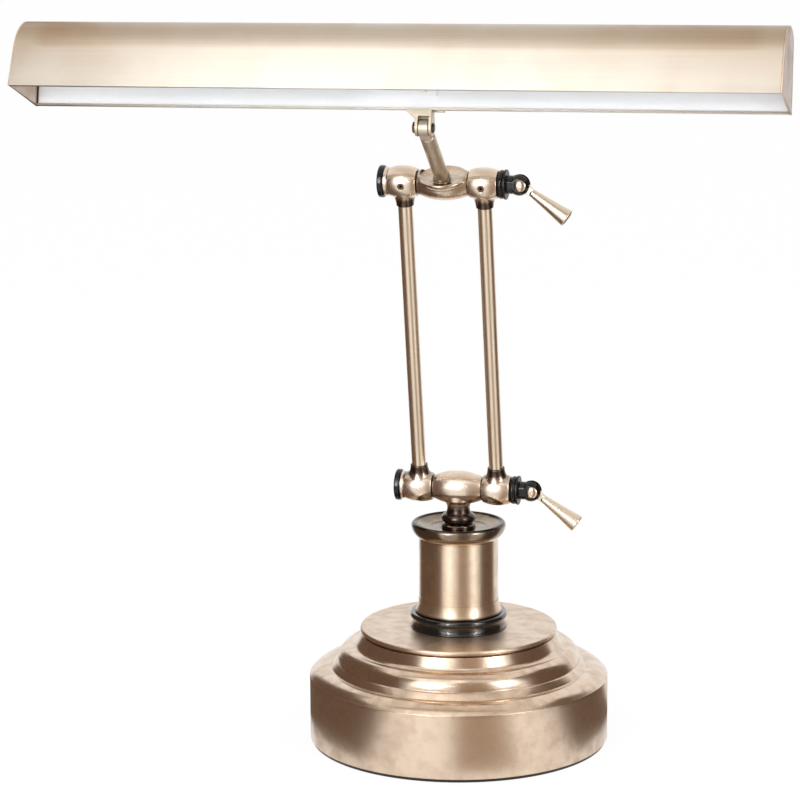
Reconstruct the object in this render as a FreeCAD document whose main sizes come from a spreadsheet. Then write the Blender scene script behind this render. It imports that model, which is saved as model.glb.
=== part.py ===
import FreeCAD
import Part
import os
import re
import Sketcher
from collections import namedtuple

# Piano lamp: a weighted round base with a short column, a lower and an upper friction knuckle
# joined by two parallel tubes, and a long trough shade that tilts on a short stem.
# Origin: centre of the base's underside. +Z up, +X along the knuckle axes, the front is -Y.
# All sizes are in millimetres and degrees.

# ---------------------------------------------------------------- driving dimensions

SIZES = [
    # base
    ("drum_radius", 73.9, "outer radius of the base's upright drum"),
    ("drum_height", 34.0, "table to the drum's upper edge"),
    ("edge_break", 0.8, "small chamfer on the drum's upper edge"),
    ("shoulder_radius", 63.2, "inner end of the rounded shoulder"),
    ("shoulder_height", 37.5, "height of the shoulder's inner end"),
    ("bead_radius", 59.9, "radius of the bead where the bell starts"),
    ("bead_height", 40.7, "height of the bead"),
    ("ogee_radius", 54.6, "radius where the bell turns from round to hollow"),
    ("ogee_height", 48.0, "height where the bell turns from round to hollow"),
    ("bell_radius", 47.1, "radius at the top of the bell"),
    ("bell_height", 54.8, "height at the top of the bell"),
    ("disc_radius", 48.7, "radius of the flat disc on top of the base"),
    ("base_height", 57.5, "table to the flat disc"),
    ("shell_wall", 1.2, "thickness of the spun brass shell"),
    ("pad_thickness", 1.6, "thickness of the felt pad"),
    ("pad_inset", 0.8, "drum radius less the pad's"),
    ("weight_gap", 4.0, "shell's inside to the iron weight's edge"),
    ("weight_height", 29.0, "table to the top of the weight's slab"),
    ("weight_boss_radius", 32.0, "radius of the weight's middle boss"),
    ("weight_flat", 44.0, "axis to the flat that leaves room at the back"),
    ("recess_radius", 15.5, "radius of the nut's recess"),
    ("recess_depth", 11.0, "depth of the nut's recess"),
    ("groove_width", 8.0, "width of the lead's groove under the weight"),
    # rod that clamps the base and column together
    ("rod_radius", 4.9, "outside of the hollow threaded rod"),
    ("rod_bore_radius", 3.2, "way through the rod for the lead"),
    ("rod_length", 94.5, "length of the rod"),
    ("rod_tail", 1.8, "rod below its nut"),
    ("rod_play", 0.15, "radial play round the rod in plain holes"),
    ("nut_across_flats", 17.0, "rod nut"),
    ("nut_thickness", 5.0, "rod nut"),
    ("washer_radius", 13.0, "rod washer"),
    ("washer_thickness", 1.5, "rod washer"),
    # cord inlet
    ("inlet_height", 13.0, "table to the axis of the cord inlet"),
    ("inlet_bore_radius", 3.3, "way through for a 6 mm cord"),
    ("bushing_radius", 4.4, "bushing in the shell's hole"),
    ("bushing_flange_radius", 6.6, "outer flange"),
    ("bushing_flange", 1.8, "thickness of the outer flange"),
    ("bushing_lip", 0.7, "height of the inner snap lip"),
    ("bushing_depth", 5.5, "bushing's length inside the shell's surface"),
    # rotary switch
    ("switch_angle", 32.0, "switch from the back centre, round the base"),
    ("switch_height", 16.5, "table to the switch's axis"),
    ("switch_width", 14.0, "switch housing"),
    ("switch_depth", 12.0, "switch housing"),
    ("switch_bush_radius", 3.4, "threaded bush"),
    ("switch_bush_length", 4.6, "threaded bush outside the housing"),
    ("switch_nut_flats", 9.6, "nut on the bush"),
    ("switch_nut_thickness", 1.8, "nut on the bush"),
    ("switch_shaft_radius", 1.5, "turning shaft"),
    ("knob_radius", 6.0, "switch knob"),
    ("knob_length", 9.0, "switch knob"),
    ("knob_gap", 0.4, "bush to knob"),
    ("flute_radius", 0.8, "grip flutes round the knob"),
    ("flute_count", 12, "grip flutes round the knob"),
    # column
    ("column_radius", 19.5, "outside of the column tube"),
    ("column_wall", 1.2, "wall of the column tube"),
    ("column_top", 105.0, "table to the top of the column tube"),
    ("column_play", 0.05, "radial fit of the rings on the column tube"),
    ("ring_radius", 24.0, "black ring under the column"),
    ("ring_height", 7.6, "height of the black ring"),
    ("ring_waist", 1.1, "depth of the ring's hollow edge"),
    ("ring_ledge", 1.5, "ledge that the column tube stands on"),
    ("foot_rim", 0.5, "thickness of the foot's rim"),
    ("foot_flare", 2.1, "radius of the foot's rim less the column's"),
    ("foot_height", 6.4, "height of the flared foot"),
    ("flare_lip", 0.2, "thickness of the flares' feather edge"),
    ("cap_skirt", 2.6, "cap's sleeve below the column's top"),
    ("cap_floor", 2.5, "thickness of the cap's dished floor"),
    ("cap_radius", 23.2, "outer radius of the cap's rim"),
    ("cap_height", 5.4, "column's top to the crest of the rim"),
    ("crest_radius", 21.9, "radius of the crest"),
    ("dish_radius", 14.8, "flat floor of the dish"),
    # swivel between column and lower hub
    ("socket_flange_radius", 8.3, "swivel socket's flange in the dish"),
    ("socket_flange", 2.0, "thickness of that flange"),
    ("socket_radius", 6.6, "socket's shank through the cap"),
    ("socket_length", 14.5, "socket's shank"),
    ("socket_thread", 5.0, "rod's length in the socket"),
    ("spindle_radius", 4.0, "swivel spindle"),
    ("spindle_bore_radius", 2.3, "way through the spindle for the lead"),
    ("spindle_seat", 8.2, "spindle's length in the hub"),
    ("bearing_length", 8.5, "spindle's bearing in the socket"),
    ("clip_gap", 0.3, "play along the spindle at its clip"),
    ("clip_thickness", 0.8, "spindle clip"),
    ("clip_radius", 5.3, "spindle clip"),
    ("clip_groove", 0.8, "depth of the clip's groove"),
    ("spindle_tail", 0.9, "spindle below its clip"),
    ("chamber_radius", 5.7, "room for the clip"),
    ("running_gap", 0.3, "gap between turning faces"),
    ("running_fit", 0.05, "radial clearance of a turning fit"),
    # knuckles
    ("knuckle_height", 127.5, "table to the lower knuckle's axis"),
    ("hub_half_length", 12.3, "middle of the hub to its end face"),
    ("hub_radius", 8.3, "hub at its middle"),
    ("hub_end_radius", 5.6, "hub at its ends"),
    ("waist_radius", 5.6, "hub's neck above the bead"),
    ("waist_height", 10.2, "below the knuckle's axis"),
    ("neck_bead_radius", 8.4, "bead at the foot of the neck"),
    ("neck_bead_height", 4.8, "height of the bead"),
    ("neck_gap", 0.4, "socket's flange to the bead"),
    ("barrel_length", 13.8, "length of a barrel"),
    ("barrel_radius", 7.9, "barrel at its middle"),
    ("barrel_end_radius", 6.6, "barrel at its ends"),
    ("bolt_radius", 2.4, "clamp bolt"),
    ("bolt_head_radius", 5.4, "clamp bolt's head"),
    ("bolt_head", 1.5, "thickness of the bolt's head"),
    ("bolt_point", 1.0, "end chamfer of the bolt"),
    ("collar_radius", 6.9, "brass thrust collar beside the left barrel"),
    ("collar_length", 2.0, "thrust collar"),
    ("end_cap_radius", 7.7, "black end cap"),
    ("end_cap_length", 2.7, "black end cap"),
    ("end_cap_round", 0.7, "rounded edge of the end cap"),
    ("friction_ring_radius", 6.9, "black friction ring beside the right barrel"),
    ("friction_ring_length", 3.1, "friction ring"),
    ("thrust_washer_radius", 7.1, "steel washer under the key"),
    ("thrust_washer", 1.0, "steel washer under the key"),
    ("set_screw_radius", 1.5, "grub screw in each barrel"),
    ("set_screw_sink", 0.7, "screw's end below the barrel's surface"),
    # clamp keys
    ("key_radius", 5.2, "ball of the clamp key"),
    ("key_base_radius", 4.4, "foot of the clamp key"),
    ("key_reach", 5.6, "key's foot to the middle of its ball"),
    ("key_flat", 4.1, "key's middle to its flat cheeks"),
    ("pin_ahead", 0.9, "ball's middle to the lever's pin"),
    ("key_slot", 3.0, "slot for the lever"),
    ("slot_floor", 3.0, "pin's axis to the floor of the slot"),
    ("pin_radius", 1.3, "lever's pin"),
    ("pin_head_radius", 2.8, "heads of the pin"),
    ("pin_head", 0.7, "heads of the pin"),
    ("tongue_gap", 0.2, "lever's tongue to each cheek"),
    ("tongue_radius", 2.7, "eye of the lever's tongue"),
    ("lever_start", 5.7, "pin's axis to the lever's cone"),
    ("lever_length", 21.3, "length of the lever's cone"),
    ("lever_root_radius", 1.9, "cone at its root"),
    ("lever_end_radius", 4.3, "cone at its end"),
    ("lever_dish", 1.2, "depth of the hollow in the lever's end"),
    ("lever_angle", 35.0, "lever below the knuckle's axis"),
    # arm
    ("tube_spacing", 38.6, "between the axes of the arm tubes"),
    ("tube_radius", 3.5, "arm tube"),
    ("tube_wall", 0.8, "arm tube and stem"),
    ("tube_fit", 0.03, "radial clearance of a soldered tube"),
    ("tube_seat", 3.6, "knuckle's axis to the end of the tube"),
    ("root_height", 11.6, "knuckle's axis to the end of the tube's socket"),
    ("root_radius", 4.2, "socket at its end"),
    ("root_flare", 6.2, "socket where it meets the barrel"),
    ("root_flare_height", 5.2, "height of that meeting"),
    ("arm_length", 157.7, "between the knuckles' axes"),
    ("arm_lean", 11.3, "arm forward from upright"),
    # stem
    ("stem_lean", 52.4, "stem forward from upright"),
    ("stem_length", 50.2, "upper knuckle's axis to the tilt pivot"),
    ("stem_radius", 3.55, "stem tube"),
    ("saucer_lean", 35.0, "saucer's axis back from the stem"),
    ("saucer_radius", 12.0, "saucer round the stem's root"),
    ("saucer_height", 3.8, "upper knuckle's axis to the saucer's rim"),
    ("saucer_depth", 4.6, "height of the saucer"),
    ("saucer_foot", 7.6, "saucer where it meets the hub"),
    ("saucer_rim", 0.9, "width of the saucer's rim"),
    ("saucer_hollow_radius", 7.4, "flat floor of the saucer"),
    ("saucer_hollow", 1.0, "depth of the saucer's floor"),
    ("stem_boss_wall", 0.6, "boss round the stem's root"),
    ("stem_boss", 6.4, "upper knuckle's axis to the top of that boss"),
    ("head_length", 7.2, "tilt pivot to the end of the stem tube"),
    ("head_plug", 8.0, "head's plug in the stem tube"),
    ("eye_radius", 4.0, "eye of the stem's head"),
    ("eye_width", 4.6, "thickness of the eye"),
    # tilt bracket
    ("bracket_slot", 5.0, "gap between the bracket's cheeks"),
    ("slot_height", 4.8, "tilt pivot to the top of that gap"),
    ("bracket_width", 7.8, "bracket at the pivot"),
    ("bracket_flare", 12.6, "bracket at the shade's lip"),
    ("flare_shift", 2.6, "that wide part to the left of the pivot"),
    ("flare_start", 3.4, "tilt pivot to where the bracket widens"),
    ("bracket_back", 3.0, "tilt pivot to where the cheeks lean in"),
    ("lip_gap", 0.3, "under the rear lip to the bracket"),
    ("cheek_radius", 4.0, "cheeks round the pivot"),
    ("lip_drop", 8.0, "tilt pivot to the plane of the shade's lips"),
    ("lip_back", 0.4, "rear lip to the tilt pivot"),
    ("plate_thickness", 1.6, "bracket's plate on the shade's back"),
    ("plate_height", 27.0, "bracket's plate above the lip"),
    ("tilt_screw_radius", 1.5, "tilt pivot screw"),
    ("tilt_head_radius", 2.3, "tilt screw's head"),
    ("tilt_head", 0.9, "tilt screw's head"),
    ("tilt_nut_flats", 4.8, "tilt screw's nut"),
    ("tilt_nut", 1.4, "tilt screw's nut"),
    ("tilt_tip", 0.3, "tilt screw beyond its nut"),
    ("bracket_screw_radius", 1.5, "screws that hold the bracket"),
    ("bracket_screw_head", 2.8, "radius of their heads"),
    ("bracket_screw_rise", 1.3, "height of their heads"),
    ("bracket_screw_tip", 1.6, "end of a screw beyond the socket bridge"),
    ("bracket_screw_low", 10.0, "rear lip to the lower screw"),
    ("bracket_screw_pitch", 11.0, "between the screws"),
    # shade
    ("shade_tilt", 20.0, "front of the shade above level"),
    ("shade_offset", 10.5, "shade's middle left of the stem"),
    ("shade_length", 356.0, "outside the end caps"),
    ("shade_mouth", 40.2, "width between the lips"),
    ("shade_sag", 0.57, "turn of the shade on its bracket, right end up"),
    ("shade_top", 28.6, "width across the top, before rounding"),
    ("shade_height", 35.6, "lips to the top"),
    ("shade_front_round", 20.0, "rounding from the top to the front"),
    ("shade_rear_round", 8.6, "rounding from the top to the back"),
    ("shade_wall", 0.9, "brass sheet of the shade"),
    ("shade_hem", 2.2, "turned-in hem along each lip"),
    ("liner_wall", 0.6, "white reflector sheet"),
    ("liner_gap", 0.1, "shade to reflector"),
    ("liner_end_gap", 0.5, "end cap to reflector"),
    # lamps inside the shade
    ("bulb_height", 21.0, "plane of the lips to the bulbs' axis"),
    ("bulb_radius", 10.3, "tubular bulb"),
    ("bulb_length", 118.0, "glass of the bulb"),
    ("glass_wall", 0.7, "glass of the bulb"),
    ("bulb_neck_radius", 6.4, "glass at its cap"),
    ("bulb_cap_radius", 7.0, "screw cap of the bulb"),
    ("bulb_cap_length", 17.0, "screw cap of the bulb"),
    ("contact_radius", 3.0, "end contact of the cap"),
    ("thread_pitch", 2.8, "thread of the cap"),
    ("thread_depth", 0.5, "thread of the cap"),
    ("holder_radius", 9.6, "lampholder"),
    ("holder_length", 25.0, "lampholder"),
    ("holder_base", 5.0, "solid back of the lampholder"),
    ("holder_clearance", 0.3, "lampholder round the bulb's cap"),
    ("bridge_half_width", 16.0, "middle of the shade to a lampholder's back"),
    ("bridge_wall", 1.2, "socket bridge sheet"),
    ("bridge_low", 6.5, "rear lip to the bridge's lower edge"),
    ("bridge_high", 26.0, "rear lip to the bridge's upper edge"),
    ("bridge_flange", 13.0, "rear lip to the lower edge of its flanges"),
    ("bridge_depth", 22.0, "rear wall to the front edge of its flanges"),
]

# ---------------------------------------------------------------- sizes that follow from them

DERIVED = {
    "mouth_half": "shade_mouth / 2",
    "top_half": "shade_top / 2",
    "shade_slope": "(mouth_half - top_half) / shade_height",
    "wall_run": "sqrt(1 + shade_slope * shade_slope)",
    "wall_angle": "atan(shade_slope) / 1deg",
    "inner_wall": "shade_wall + liner_gap + liner_wall",
    # heights up the lamp's axis
    "recess_top": "pad_thickness + recess_depth",
    "washer_bottom": "recess_top - washer_thickness",
    "nut_bottom": "washer_bottom - nut_thickness",
    "rod_bottom": "nut_bottom - rod_tail",
    "rod_top": "rod_bottom + rod_length",
    "ring_top": "base_height + ring_height",
    "dish_floor": "column_top + cap_floor",
    "flange_top": "dish_floor + socket_flange",
    "socket_bottom": "rod_top - socket_thread",
    "neck_bottom": "flange_top + neck_gap",
    "bearing_bottom": "flange_top - bearing_length",
    "clip_top": "bearing_bottom - clip_gap",
    "clip_bottom": "clip_top - clip_thickness",
    "spindle_bottom": "clip_bottom - spindle_tail",
    "spindle_top": "neck_bottom + spindle_seat",
    # stations along a knuckle's axis
    "barrel_inner": "hub_half_length + running_gap",
    "barrel_outer": "barrel_inner + barrel_length",
    "barrel_middle": "tube_spacing / 2",
    "collar_outer": "barrel_outer + collar_length",
    "ring_outer": "barrel_outer + friction_ring_length",
    "key_foot": "ring_outer + thrust_washer + running_gap",
    "ball_middle": "key_foot + key_reach",
    "pin_station": "ball_middle + pin_ahead",
    "bolt_end": "pin_station - slot_floor - running_gap",
    "bore_radius": "bolt_radius + running_fit",
    # places of the moving frames
    "upper_y": "-arm_length * sin(arm_lean * 1deg)",
    "upper_z": "knuckle_height + arm_length * cos(arm_lean * 1deg)",
    "pivot_y": "upper_y - stem_length * sin(stem_lean * 1deg)",
    "pivot_z": "upper_z + stem_length * cos(stem_lean * 1deg)",
    "mouth_y": "-(mouth_half + lip_back)",
    "shade_y": "pivot_y + mouth_y * cos(shade_tilt * 1deg) + lip_drop * sin(shade_tilt * 1deg)",
    "shade_z": "pivot_z - mouth_y * sin(shade_tilt * 1deg) + lip_drop * cos(shade_tilt * 1deg)",
    "lip_y": "pivot_y - lip_back * cos(shade_tilt * 1deg) + lip_drop * sin(shade_tilt * 1deg)",
    "lip_z": "pivot_z + lip_back * sin(shade_tilt * 1deg) + lip_drop * cos(shade_tilt * 1deg)",
    "bulb_y": "shade_y + bulb_height * sin(shade_tilt * 1deg)",
    "bulb_z": "shade_z + bulb_height * cos(shade_tilt * 1deg)",
    "wall_lean": "shade_tilt - wall_angle",
    "screw_y": "lip_y + bracket_screw_low * sin(wall_lean * 1deg)",
    "screw_z": "lip_z + bracket_screw_low * cos(wall_lean * 1deg)",
    # lampholders and bulbs, from the middle of the shade
    "holder_end": "bridge_half_width + holder_length",
    "cap_start": "bridge_half_width + holder_base + holder_clearance",
    "cap_end": "cap_start + bulb_cap_length",
    "glass_end": "cap_end + bulb_length",
}

# A frame is a place and a turn: (x, y, z, axis, angle).
FRAMES = {
    "lamp": ("0", "0", "0", "X", "0"),
    "inlet": ("0", "0", "inlet_height", "X", "0"),
    "switch": ("0", "0", "switch_height", "Z", "switch_angle"),
    "neck": ("0", "0", "knuckle_height", "X", "0"),
    "lower": ("0", "0", "knuckle_height", "X", "arm_lean"),
    "lower_left": ("-barrel_middle", "0", "knuckle_height", "X", "arm_lean"),
    "lower_right": ("barrel_middle", "0", "knuckle_height", "X", "arm_lean"),
    "lower_key": ("0", "0", "knuckle_height", "X", "0"),
    "lower_pin": ("pin_station", "0", "knuckle_height", "X", "0"),
    "lower_lever": ("pin_station", "0", "knuckle_height", "Y", "lever_angle"),
    "upper": ("0", "upper_y", "upper_z", "-X", "180 - arm_lean"),
    "upper_left": ("-barrel_middle", "upper_y", "upper_z", "-X", "180 - arm_lean"),
    "upper_right": ("barrel_middle", "upper_y", "upper_z", "-X", "180 - arm_lean"),
    "upper_key": ("0", "upper_y", "upper_z", "X", "0"),
    "upper_pin": ("pin_station", "upper_y", "upper_z", "X", "0"),
    "upper_lever": ("pin_station", "upper_y", "upper_z", "Y", "lever_angle"),
    "stem": ("0", "upper_y", "upper_z", "X", "stem_lean"),
    "pivot": ("0", "pivot_y", "pivot_z", "-X", "shade_tilt"),
    "shade": ("-shade_offset", "shade_y", "shade_z", "-X", "shade_tilt"),
    "bulbs": ("-shade_offset", "bulb_y", "bulb_z", "-X", "shade_tilt"),
    "rear_wall": ("0", "lip_y", "lip_z", "-X", "wall_lean"),
    "bridge": ("-shade_offset", "lip_y", "lip_z", "-X", "wall_lean"),
}

# These hang on the bracket's lower screw, turned a little about it in the plane of the rear wall.
HUNG = ("shade", "bulbs", "rear_wall", "bridge")
SAG = (
    "placement(vector(0; 0; 0);"
    " rotation(vector(0; -cos(wall_lean * 1deg); sin(wall_lean * 1deg)); shade_sag * 1deg);"
    " vector(0; screw_y; screw_z))"
)

AXES = {
    "X": FreeCAD.Vector(1, 0, 0),
    "-X": FreeCAD.Vector(-1, 0, 0),
    "Y": FreeCAD.Vector(0, 1, 0),
    "Z": FreeCAD.Vector(0, 0, 1),
    "-Z": FreeCAD.Vector(0, 0, -1),
}
SKETCH_ORIGIN = (-1, 1)
SKETCH_BASED = "PartDesign::ProfileBased"
START, END, MIDDLE = 1, 2, 3
ACROSS, UPRIGHT = -1, -2
NEAR = 1e-6

Circle = namedtuple("Circle", "x y radius")

doc = FreeCAD.newDocument("piano_lamp")
sheet = doc.addObject("Spreadsheet::Sheet", "Sizes")
ALIASES = {alias for alias, _, _ in SIZES}
for row, (alias, size, note) in enumerate(SIZES, start=1):
    sheet.set(f"A{row}", alias)
    sheet.set(f"B{row}", str(size))
    sheet.set(f"C{row}", note)
    sheet.setAlias(f"B{row}", alias)
doc.recompute()


def formula(text):
    """Expression text in which every size and derived name is tied to the sheet."""

    def tied(match):
        word = match.group(0)
        if word in ALIASES:
            return "Sizes." + word
        if word in DERIVED:
            return "(" + formula(DERIVED[word]) + ")"
        return word

    return re.sub(r"(?<![\w.])[a-z][a-z_]*", tied, str(text))


def number(text):
    """Value of a size formula."""
    return float(sheet.evalExpression(formula(text)))


# ---------------------------------------------------------------- sketches and bodies


def arc_through(first, middle, last):
    """Arc of a circle through three points, and which of its ends the first point is."""
    (ax, ay), (bx, by), (cx, cy) = first, middle, last
    turn = 2 * (ax * (by - cy) + bx * (cy - ay) + cx * (ay - by))
    a2, b2, c2 = ax * ax + ay * ay, bx * bx + by * by, cx * cx + cy * cy
    x = (a2 * (by - cy) + b2 * (cy - ay) + c2 * (ay - by)) / turn
    y = (a2 * (cx - bx) + b2 * (ax - cx) + c2 * (bx - ax)) / turn
    centre = FreeCAD.Vector(x, y, 0)
    radius = centre.distanceToPoint(FreeCAD.Vector(ax, ay, 0))
    circle = Part.Circle(centre, AXES["Z"], radius)
    ends = [circle.parameter(FreeCAD.Vector(px, py, 0)) for px, py in (first, last)]
    if turn < 0:
        return Part.ArcOfCircle(circle, ends[1], ends[0]), END
    return Part.ArcOfCircle(circle, ends[0], ends[1]), START


class Piece:
    """One sub-part: a PartDesign body whose sketches and features are tied to the sheet."""

    def __init__(self, label, frame):
        self.body = doc.addObject("PartDesign::Body", label)
        self.body.Label = label
        x, y, z, axis, angle = FRAMES[frame]
        turn = FreeCAD.Rotation(AXES[axis], number(angle))
        self.body.Placement = FreeCAD.Placement(FreeCAD.Vector(0, 0, 0), turn)
        if frame in HUNG:
            turned = f"rotation(vector({'; '.join(map(str, AXES[axis]))}); ({angle}) * 1deg)"
            place = f"{SAG} * placement(vector({x}; {y}; {z}); {turned})"
            self.body.setExpression("Placement", formula(place))
            return
        for name, text in (("x", x), ("y", y), ("z", z)):
            self.body.setExpression(f"Placement.Base.{name}", formula(text))
        if angle != "0":
            self.body.setExpression("Placement.Rotation.Angle", formula(f"({angle}) * 1deg"))

    def sketch(self, plane, profile, offset="0", spin="0", about="Y"):
        """Sketch on one of the body's own planes, moved along its normal or spun about an axis."""
        sketch = self.body.newObject("Sketcher::SketchObject", self.body.Label + "_sketch")
        sketch.AttachmentSupport = [(self.origin_feature(plane + "_Plane"), "")]
        sketch.MapMode = "FlatFace"
        if spin != "0":
            turn = FreeCAD.Rotation(AXES[about], number(spin))
            sketch.AttachmentOffset = FreeCAD.Placement(FreeCAD.Vector(0, 0, 0), turn)
            sketch.setExpression("AttachmentOffset.Rotation.Angle", formula(f"({spin}) * 1deg"))
        if offset != "0":
            sketch.setExpression("AttachmentOffset.Base.z", formula(offset))
        self.pinned = []
        if isinstance(profile, Circle):
            self.draw_circle(sketch, profile)
        else:
            self.draw_outline(sketch, profile)
        for index, text in self.pinned:
            sketch.setExpression(f"Constraints[{index}]", formula(text))
        return sketch

    def pin(self, sketch, geometry, point, x, y):
        """Hold a sketch point at a place given by two formulas."""
        for kind, text, axis in (("DistanceX", x, UPRIGHT), ("DistanceY", y, ACROSS)):
            size = number(text)
            if abs(size) < NEAR:
                on_axis = Sketcher.Constraint("PointOnObject", geometry, point, axis)
                sketch.addConstraint(on_axis)
                continue
            distance = Sketcher.Constraint(kind, *SKETCH_ORIGIN, geometry, point, size)
            self.pinned.append((sketch.addConstraint(distance), text))

    def draw_circle(self, sketch, circle):
        middle = FreeCAD.Vector(number(circle.x), number(circle.y), 0)
        geometry = sketch.addGeometry(Part.Circle(middle, AXES["Z"], number(circle.radius)))
        self.pin(sketch, geometry, MIDDLE, circle.x, circle.y)
        constraint = Sketcher.Constraint("Radius", geometry, number(circle.radius))
        self.pinned.append((sketch.addConstraint(constraint), circle.radius))

    def draw_outline(self, sketch, steps):
        """Closed outline. A step is the next corner, or a point on an arc and then the corner."""
        corners = [step[-2:] for step in steps]
        places = [(number(x), number(y)) for x, y in corners]
        joints = []
        for index, step in enumerate(steps):
            first, last = places[index - 1], places[index]
            if len(step) == 2:
                line = Part.LineSegment(FreeCAD.Vector(*first, 0), FreeCAD.Vector(*last, 0))
                joints.append((sketch.addGeometry(line), START))
                continue
            middle = (number(step[0]), number(step[1]))
            arc, start = arc_through(first, middle, last)
            geometry = sketch.addGeometry(arc)
            joints.append((geometry, start))
            guide = sketch.addGeometry(Part.Point(FreeCAD.Vector(*middle, 0)), True)
            self.pin(sketch, guide, 1, step[0], step[1])
            sketch.addConstraint(Sketcher.Constraint("PointOnObject", guide, 1, geometry))
        for index, (geometry, start) in enumerate(joints):
            following, next_start = joints[(index + 1) % len(joints)]
            end = START + END - start
            link = Sketcher.Constraint("Coincident", geometry, end, following, next_start)
            sketch.addConstraint(link)
            self.pin(sketch, geometry, end, *corners[index])

    def feature(self, kind, profile_sketch):
        """Add a sketch-based feature as the body's tip."""
        item = self.body.newObject("PartDesign::" + kind, f"{self.body.Label}_{kind}")
        item.Profile = profile_sketch
        profile_sketch.Visibility = False
        self.body.Tip = item
        return item

    def turn(self, axis, outline, cut=False, lean="0"):
        """Revolve an outline: (along, out) about X, (out, up) about Z, (out, along) about Y.

        A lean turns the outline and its Z axis backwards, towards +Y.
        """
        if lean == "0":
            sketch = self.sketch("XY" if axis == "Y" else "XZ", outline)
        else:
            sketch = self.sketch("YZ", outline, spin=lean, about="-Z")
        item = self.feature("Groove" if cut else "Revolution", sketch)
        item.ReferenceAxis = (sketch, ["H_Axis" if axis == "X" else "V_Axis"])
        item.Angle = 360
        return item

    def pad(self, plane, profile, length, offset="0", both=False, cut=False):
        """Extrude a profile along the plane's normal, or to both sides, or cut with it."""
        item = self.feature("Pocket" if cut else "Pad", self.sketch(plane, profile, offset))
        item.SideType = "Symmetric" if both else "One side"
        item.Reversed = cut
        item.setExpression("Length", formula(length))
        return item

    def cut_outward(self, circle, length, spin):
        """Cut a round hole from the frame's middle outwards, spun from +Y about upright."""
        item = self.feature("Pocket", self.sketch("XZ", circle, spin=spin))
        item.SideType = "One side"
        item.setExpression("Length", formula(length))
        return item

    def wall_holes(self, x, back, up, radius, turn="0"):
        """Cut the bracket screws' holes square to the shade's rear wall, whose lip is given.

        The upper hole is turned about the lower one by an angle in the wall's plane.
        """
        for pitch in ("0", "bracket_screw_pitch"):
            across = f"{x} - {pitch} * sin({turn} * 1deg)"
            height = f"bracket_screw_low + {pitch} * cos({turn} * 1deg)"
            sketch = self.sketch("XZ", Circle(across, height, radius))
            lean = FreeCAD.Rotation(AXES["X"], number("wall_angle"))
            sketch.AttachmentOffset = FreeCAD.Placement(FreeCAD.Vector(0, 0, 0), lean)
            sketch.setExpression("AttachmentOffset.Rotation.Angle", formula("wall_angle * 1deg"))
            sketch.setExpression("AttachmentOffset.Base.y", formula(up))
            sketch.setExpression("AttachmentOffset.Base.z", formula(f"-({back})"))
            item = self.feature("Pocket", sketch)
            item.SideType = "Symmetric"
            item.setExpression("Length", formula("8 * plate_thickness"))

    def pattern(self, kind, last, **settings):
        """Repeat the last few features with a Mirrored or a PolarPattern."""
        doc.recompute()
        steps = [step for step in self.body.Group if step.isDerivedFrom(SKETCH_BASED)]
        item = self.body.newObject("PartDesign::" + kind, f"{self.body.Label}_{kind}")
        item.Originals = steps[-last:]
        for name, setting in settings.items():
            if isinstance(setting, str):
                item.setExpression(name, formula(setting))
            else:
                setattr(item, name, setting)
        self.body.Tip = item

    def origin_feature(self, role):
        """The body's own origin plane or axis of that role."""
        return [item for item in self.body.Origin.OriginFeatures if item.Role == role][0]


def rectangle(x0, y0, x1, y1):
    """Outline of an upright rectangle."""
    return [(x0, y0), (x1, y0), (x1, y1), (x0, y1)]


def hexagon(across_flats):
    """Outline of a regular hexagon about the sketch's origin."""
    side = f"{across_flats} / 2"
    corner = f"{across_flats} / 2 / cos(30deg)"
    half = f"{across_flats} / 4 / cos(30deg)"
    return [
        (corner, "0"), (half, side), (f"-({half})", side),
        (f"-({corner})", "0"), (f"-({half})", f"-({side})"), (half, f"-({side})"),
    ]


def ring(inner, outer, bottom, top):
    """Outline of a plain ring's section for turning about Z."""
    return rectangle(inner, bottom, outer, top)


def sleeve(start, stop, inner, outer):
    """Outline of a plain ring's section for turning about X or Y."""
    return rectangle(start, inner, stop, outer)


# ---------------------------------------------------------------- base


def base_pad():
    """Felt pad the lamp stands on."""
    pad = Piece("base_pad", "lamp")
    pad.pad("XY", Circle("0", "0", "drum_radius - pad_inset"), "pad_thickness")


def bell(inset, bottom):
    """Outline of the base: drum, rounded shoulder, bead and bell, inset from the outer skin."""
    arc_inset = f"0.85 * {inset}"
    return [
        ("0", bottom),
        (f"drum_radius - {inset}", bottom),
        (f"drum_radius - {inset}", f"drum_height - edge_break - {inset}"),
        (f"drum_radius - edge_break - {inset}", f"drum_height - {inset}"),
        (f"(drum_radius + shoulder_radius) / 2 + 0.6 - {arc_inset}",
         f"(drum_height + shoulder_height) / 2 + 1.0 - {arc_inset}",
         f"shoulder_radius - {inset}", f"shoulder_height - {inset}"),
        (f"bead_radius + 0.9 - {inset}", f"bead_height - 0.6 - {inset}"),
        (f"bead_radius - {inset}", f"bead_height - {inset}"),
        (f"(bead_radius + ogee_radius) / 2 + 1.3 - {arc_inset}",
         f"(bead_height + ogee_height) / 2 + 0.9 - {arc_inset}",
         f"ogee_radius - {inset}", f"ogee_height - {inset}"),
        (f"(ogee_radius + bell_radius) / 2 - 1.0 - {arc_inset}",
         f"(ogee_height + bell_height) / 2 - 1.1 - {arc_inset}",
         f"bell_radius - {inset}", f"bell_height - {inset}"),
    ]


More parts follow.
